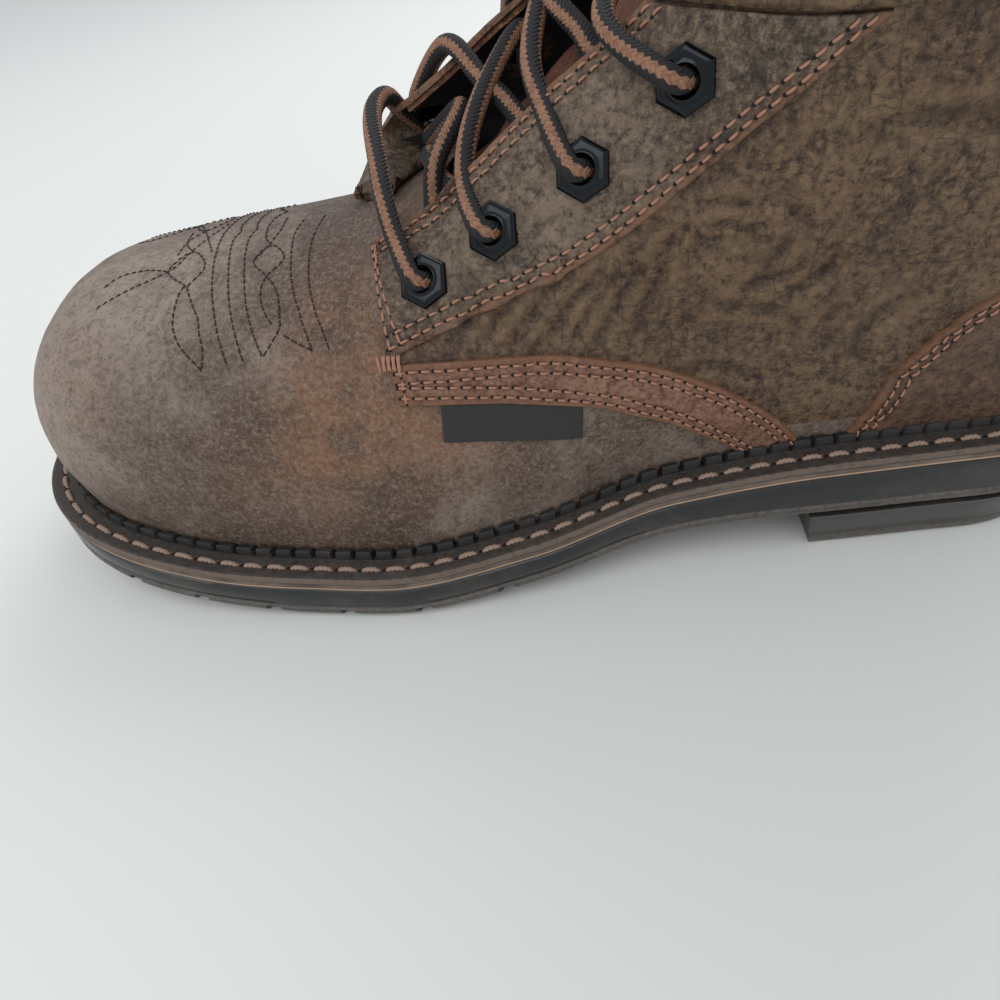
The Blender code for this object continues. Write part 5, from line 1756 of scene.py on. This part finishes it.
LOWER_BAND = 0.0038
sole_rows = (
    # inset, surface that the height starts from, height over it
    (0.012, "low", 0.0), (0.0028, "low", 0.0), (0.0012, "low", 0.0006), (0.0003, "low", 0.0016),
    (0.0, "low", 0.0024), (0.0, "low", LOWER_BAND - 0.0004), (0.0005, "low", LOWER_BAND),
    (0.0007, "low", LOWER_BAND + 0.0004), (0.0003, "low", LOWER_BAND + 0.0008),
    (0.0, "top", -0.0040), (0.0, "top", -0.0012), (0.0002, "top", -0.0004), (0.0007, "top", 0.0),
    (0.012, "top", 0.0),
)
sole_rings, sole_dust = [], []
dust_by_row = (0.9, 0.9, 0.85, 0.7, 0.6, 0.55, 0.9, 0.3, 0.05, 0.0, 0.0, 0.05, 0.2, 0.2)
for (inset, frame_of, rise), dust in zip(sole_rows, dust_by_row):
    height = underside_z if frame_of == "low" else outsole_top
    sole_rings.append(side_edge.lift(inset, height, rise))
    sole_dust.append(np.full(760, dust))
ring_count = len(sole_rings)
sole_verts = np.array(sole_rings).reshape(-1, 3)
sole_faces = [tuple(f) for f in wrap_faces(ring_count, 760, True)]
for ring_number, up in ((0, False), (ring_count - 1, True)):
    first = ring_number * 760
    for k in range(1, 380):
        a, b = first + k, first + k + 1
        c, d = first + (760 - k - 1) % 760, first + 760 - k
        if k == 379:
            continue
        sole_faces.append((a, b, c, d) if up else (d, c, b, a))
    tip, end = first, first + 380
    sole_faces.append((first + 1, first + 759, tip) if up else (tip, first + 759, first + 1))
    sole_faces.append((end, first + 381, first + 379) if up else (first + 379, first + 381, end))


def cut_grooves(piece, boxes):
    """Cut slanted boxes out of a closed mesh."""
    bm = bmesh.new()
    for matrix in boxes:
        bmesh.ops.create_cube(bm, size=1.0, matrix=matrix)
    mesh = bpy.data.meshes.new("groove_tool")
    bm.to_mesh(mesh)
    bm.free()
    tool = bpy.data.objects.new("groove_tool", mesh)
    bpy.context.scene.collection.objects.link(tool)
    cut = piece.modifiers.new("grooves", "BOOLEAN")
    cut.operation, cut.object, cut.solver = "DIFFERENCE", tool, "EXACT"
    bpy.context.view_layer.update()
    seen = piece.evaluated_get(bpy.context.evaluated_depsgraph_get())
    result = bpy.data.meshes.new_from_object(seen)
    piece.modifiers.clear()
    piece.data = result
    piece.data.shade_smooth()
    piece.data.set_sharp_from_angle(angle=math.radians(38))
    bpy.data.objects.remove(tool)


def shift_matrix():
    return Matrix.Translation((-LENGTH / 2, -FOOTPRINT_MIDDLE, 0.0))


tread = add_piece("tread_sole", sole_verts, sole_faces, sole_finish, ["outsole"],
                  {"dusty": np.array(sole_dust).ravel()}, closed=True)
groove_boxes = []
for k in range(GROOVE_PAIRS):
    x = LENGTH * FIRST_GROOVE + GROOVE_PITCH * k
    slope = math.atan2(underside_z(x + GROOVE_WIDTH) - underside_z(x), GROOVE_WIDTH)
    for side in (1, -1):
        y = plan_centre(x) + side * BALL_WIDTH * GROOVE_OUT
        groove_boxes.append(
            shift_matrix()
            @ Matrix.Translation((x, y, underside_z(x)))
            @ Matrix.Rotation(-slope, 4, "Y")
            @ Matrix.Rotation(-side * GROOVE_SLANT, 4, "Z")
            @ Matrix.Diagonal((GROOVE_WIDTH, BALL_WIDTH * GROOVE_LENGTH, 2 * TREAD_DEPTH, 1.0))
        )
cut_grooves(tread, groove_boxes)

HEEL_STATIONS = 160
heel_rows = (
    # inset, height
    (0.0075, 0.0), (HEEL_TAPER + 0.0012, 0.0), (HEEL_TAPER + 0.0004, 0.0007), (HEEL_TAPER, 0.0016),
    (HEEL_TAPER - 0.0001, 0.0032), (HEEL_TAPER + 0.0002, 0.0036), (HEEL_TAPER - 0.0003, 0.0041),
    (CLEARANCE + 0.0006, HEEL_STEP - 0.0020), (CLEARANCE, HEEL_STEP - CLEARANCE),
    (0.0075, HEEL_STEP - CLEARANCE),
)


def heel_loop(inset, height):
    start, end = inset, BREAST_AT - inset
    halves = []
    for side in (1, -1):
        part = []
        for k in range(LOOP_SAMPLES + 1):
            x = start + (end - start) * (1 + math.cos(math.pi * k / LOOP_SAMPLES)) / 2
            part.append((x, plan_centre(x) + side * plan_half(x, inset)))
        halves.append(resample(part, HEEL_STATIONS))
    flat = np.concatenate([halves[0], halves[1][-2::-1]])
    edge_y = flat[[0, -1], 1]
    breast = [(end, y) for y in np.linspace(edge_y[1], edge_y[0], 26)[1:-1]]
    flat = np.concatenate([flat, breast])
    return np.column_stack([flat, np.full(len(flat), height)])


heel_rings = [heel_loop(inset, height) for inset, height in heel_rows]
heel_count = len(heel_rings[0])
heel_faces = [tuple(f) for f in wrap_faces(len(heel_rows), heel_count, True)]
heel_faces.append(tuple(range(heel_count))[::-1])
top_first = (len(heel_rows) - 1) * heel_count
heel_faces.append(tuple(range(top_first, top_first + heel_count)))
heel_dust = np.repeat((0.9, 0.9, 0.85, 0.8, 0.6, 0.9, 0.3, 0.1, 0.3, 0.3), heel_count)
heel = add_piece("heel_block", np.array(heel_rings), heel_faces, sole_finish,
                 ["heel"], {"dusty": heel_dust}, closed=True)
cut_grooves(heel, [
    shift_matrix() @ Matrix.Translation((BREAST_AT * along, 0.0, 0.0))
    @ Matrix.Diagonal((GROOVE_WIDTH, BALL_WIDTH * 0.45, 2 * TREAD_DEPTH, 1.0))
    for along in HEEL_GROOVES
])


# Eyelets
PLATE_SIDES = 60
PLATE_ROWS = (
    # radius, height, share of the hexagon
    (EYELET_WIDTH / 2, -0.0010, 1.0), (EYELET_WIDTH / 2, 0.0007, 1.0),
    (EYELET_WIDTH / 2 - 0.00012, 0.0009, 1.0), (EYELET_WIDTH / 2 - 0.0011, 0.0014, 1.0),
    (EYELET_WIDTH / 2 - 0.0013, 0.00145, 0.95), (0.0046, 0.0015, 0.15), (0.0041, 0.0018, 0.0),
    (0.0037, 0.0019, 0.0), (0.0033, 0.0017, 0.0), (0.0031, 0.0012, 0.0), (0.0031, -0.0060, 0.0),
    (0.0036, -0.0062, 0.0), (0.0039, -0.0056, 0.0), (0.0039, -0.0010, 0.0),
)
EYELET_TURNS = (0.20, 0.18, 0.12, 0.10, 0.05, 0.0)
PLATE_SHARE = 0.87


def upright(normal):
    x_axis = np.array([0.0, 0.0, 1.0]) - normal * normal[2]
    x_axis /= np.linalg.norm(x_axis)
    return x_axis, np.cross(normal, x_axis)


def plate_lift(number):
    """Height of an eyelet plate's underside above the base."""
    return (CUFF_LAYER if number > 3 else 0.0014) + 0.0001


for (side, number), (spot, normal) in eyelets.items():
    x_axis, y_axis = upright(normal)
    verts = []
    for radius, height, hexness in PLATE_ROWS:
        for k in range(PLATE_SIDES):
            turn = 2 * math.pi * k / PLATE_SIDES
            local = (turn % (math.pi / 3)) - math.pi / 6
            six = math.cos(math.pi / 6) / math.cos(local)
            rounded = (1 - hexness) * (1.0 if hexness < 0.5 else 0.9)
            reach = PLATE_SHARE * radius * (hexness * six + rounded)
            at = turn + side * EYELET_TURNS[number]
            out = x_axis * math.cos(at) + y_axis * math.sin(at)
            verts.append(spot + out * reach + normal * (height + plate_lift(number)))
    faces = wrap_faces(len(PLATE_ROWS), PLATE_SIDES)
    name = "outer" if side > 0 else "inner"
    lifted = np.array(verts)
    if side < 0 and number == 0:
        lifted = lifted + normal * FLAP_LIFT * 0.5
    add_piece(f"hex_ring_{name}_{number + 1}", lifted, faces, metal_finish,
              [f"eyelet_{name}_{number + 1}"], sharp=32)


# Lace
LACE_SIDES = 20


def lace_tube(points, nodes, name):
    """Braided cord along a soft curve through given points."""
    path = smooth_line(points, max(int(len(points) * 12), 60))
    for _ in range(3):
        path[1:-1] += ((path[:-2] + path[2:]) / 2 - path[1:-1]) * 0.5
    first, second = sweep_frames(path)
    run = run_along(path)
    verts, braid = [], []
    for k, spot in enumerate(path):
        for s in range(LACE_SIDES + 1):
            turn = 2 * math.pi * s / LACE_SIDES
            out = first[k] * math.cos(turn) + second[k] * math.sin(turn)
            verts.append(spot + out * LACE_WIDTH / 2)
            braid.append((s / LACE_SIDES, run[k], 0.0))
    faces = grid_faces(len(path), LACE_SIDES + 1)
    return add_piece(name, verts, faces, cord_finish, nodes, {"braid": np.array(braid)})


def above(side, number, up, ahead=0.0, rise=0.0):
    """Place over an eyelet's hole: along its normal, towards the throat and up the boot."""
    spot, normal = eyelets[side, number]
    x_axis, y_axis = upright(normal)
    return spot + normal * up + y_axis * ahead * side + x_axis * rise


def edge_over(side, level, up, inward=0.0):
    """Place over a throat edge at a level, and further over the throat by inward."""
    z = level_height(level)
    spot, normal = throat_place(z, 0.0, side)
    return spot + normal * up + np.array([0.0, -side * inward, 0.0])


bar = [
    above(1, 0, -0.006), above(1, 0, 0.0005), above(1, 0, 0.0044, 0.002),
    (0.1862, 0.0220, 0.0955), (0.1886, 0.0140, 0.1016), (0.1902, 0.0050, 0.1065),
    (0.1924, -0.0080, 0.1112), (0.1926, -0.0170, 0.1132), (0.1905, -0.0245, 0.1132),
    (0.1880, -0.0300, 0.1075), (0.1840, -0.0345, 0.1010),
    above(-1, 0, 0.0052, 0.002), above(-1, 0, 0.0005), above(-1, 0, -0.006),
]
# Middle places of the crossings that the photo shows
LACE_MIDS = {
    # pair and side of the starting eyelet: places
    (0, 1): ((0.1780, 0.0080, 0.0975), (0.1766, 0.0020, 0.1050), (0.1700, -0.0120, 0.1125)),
    (0, -1): ((0.1800, -0.0140, 0.1010), (0.1762, 0.0000, 0.1000), (0.1715, 0.0080, 0.0990)),
    (1, 1): ((0.1689, 0.0160, 0.1045), (0.1673, 0.0060, 0.1120), (0.1619, -0.0060, 0.1200),
             (0.1541, -0.0200, 0.1262)),
    (1, -1): ((0.1731, -0.0235, 0.1238), (0.1644, -0.0100, 0.1190), (0.1590, -0.0020, 0.1160),
              (0.1535, 0.0070, 0.1120)),
    (2, 1): ((0.1496, 0.0180, 0.1185), (0.1521, 0.0060, 0.1256), (0.1491, -0.0080, 0.1338),
             (0.1430, -0.0200, 0.1390)),
    (2, -1): ((0.1540, -0.0240, 0.1390), (0.1470, -0.0060, 0.1345), (0.1410, 0.0050, 0.1300),
              (0.1370, 0.0120, 0.1260)),
}
lace_tube(bar, ["lace_bar"], "lace_foot_bar")


def crossing(number):
    """Two strands between a pair of eyelets and the next, outward over one edge, in under the other."""
    first = number
    for side in (1, -1):
        level_in = EYELET_LEVELS[-side][first + 1]
        points = []
        if number == 0:
            points += [above(side, 0, -0.0065), edge_over(side, 1.00, -0.0060, 0.004)]
        else:
            points += [above(side, first, -0.0060), above(side, first, 0.0004),
                       above(side, first, 0.0050, 0.0030, 0.0010),
                       edge_over(side, EYELET_LEVELS[side][first] + 0.05, 0.0046, 0.0005)]
        lift = 0.0 if side > 0 else 0.0048
        start = points[-1]
        finish = edge_over(-side, level_in - 0.04, -0.0052, 0.0035)
        middle = (np.array(start) + finish) / 2 + np.array([0.7, 0.0, 0.6]) * (0.0010 + lift)
        if (number, side) in LACE_MIDS:
            points = points[: 3 if number else 1] + list(LACE_MIDS[number, side])
            if number and side > 0:
                points[2] = above(side, first, 0.0044, 0.0025, 0.0005)
        else:
            points += [middle, finish]
        points += [above(-side, first + 1, -0.0075, 0.002), above(-side, first + 1, -0.0050)]
        nodes = [f"lace_crossing_{number + 1}"]
        name = f"lace_{number + 1}_{'outer' if side > 0 else 'inner'}"
        lace_tube(points, nodes, name)


for number in range(EYELET_PAIRS - 1):
    crossing(number)

# The insole keeps its own solid
insole_finish = plain("insole_cloth", tone(40, 37, 35), 0.9, 900.0, 0.0003)
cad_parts["insole"].data.materials.clear()
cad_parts["insole"].data.materials.append(insole_finish)

# Floor, light and camera
floor_mesh = bpy.data.meshes.new("pale_floor")
floor_mesh.from_pydata([(-3, -3, 0), (3, -3, 0), (3, 3, 0), (-3, 3, 0)], [], [(0, 1, 2, 3)])
floor_mesh.materials.append(plain("floor_paint", (0.80, 0.81, 0.78), 0.9))
floor = bpy.data.objects.new("pale_floor", floor_mesh)
bpy.context.scene.collection.objects.link(floor)

scene = bpy.context.scene
world = bpy.data.worlds.new("studio")
world.use_nodes = True
world.node_tree.nodes["Background"].inputs[0].default_value = (0.92, 0.95, 1.0, 1.0)
world.node_tree.nodes["Background"].inputs[1].default_value = 0.66
scene.world = world
LIGHTS = (
    # name, place, target, size, power
    ("key", (0.35, 0.55, 0.95), (0.0, 0.0, 0.05), 0.8, 3.4),
    ("back", (-0.25, -0.75, 0.75), (0.0, 0.0, 0.06), 0.7, 3.6),
    ("toe_side", (0.95, 0.0, 0.45), (0.05, 0.0, 0.05), 0.5, 0.8),
)
for name, spot, target, width, power in LIGHTS:
    lamp = bpy.data.lights.new(name, "AREA")
    lamp.size, lamp.energy = width, power
    made = bpy.data.objects.new(name, lamp)
    made.location = spot
    aim = Vector(target) - Vector(spot)
    made.rotation_euler = aim.to_track_quat("-Z", "Y").to_euler()
    scene.collection.objects.link(made)

CAMERA_PLACE = (0.1503, 0.1926, 0.1732)
CAMERA_RIGHT = Vector((-0.995, -0.019, -0.100))
CAMERA_FORWARD = Vector((0.084, -0.717, -0.692))
camera_data = bpy.data.cameras.new("camera")
camera_data.lens, camera_data.sensor_width = 27.54, 36.0
camera_data.clip_start, camera_data.clip_end = 0.01, 20.0
camera = bpy.data.objects.new("camera", camera_data)
scene.collection.objects.link(camera)
forward = CAMERA_FORWARD.normalized()
right = (CAMERA_RIGHT - forward * CAMERA_RIGHT.dot(forward)).normalized()
turn = Matrix((right, right.cross(forward), -forward)).transposed().to_4x4()
camera.matrix_world = Matrix.Translation(Vector(place(CAMERA_PLACE))) @ turn
scene.camera = camera
scene.view_settings.view_transform = "Standard"
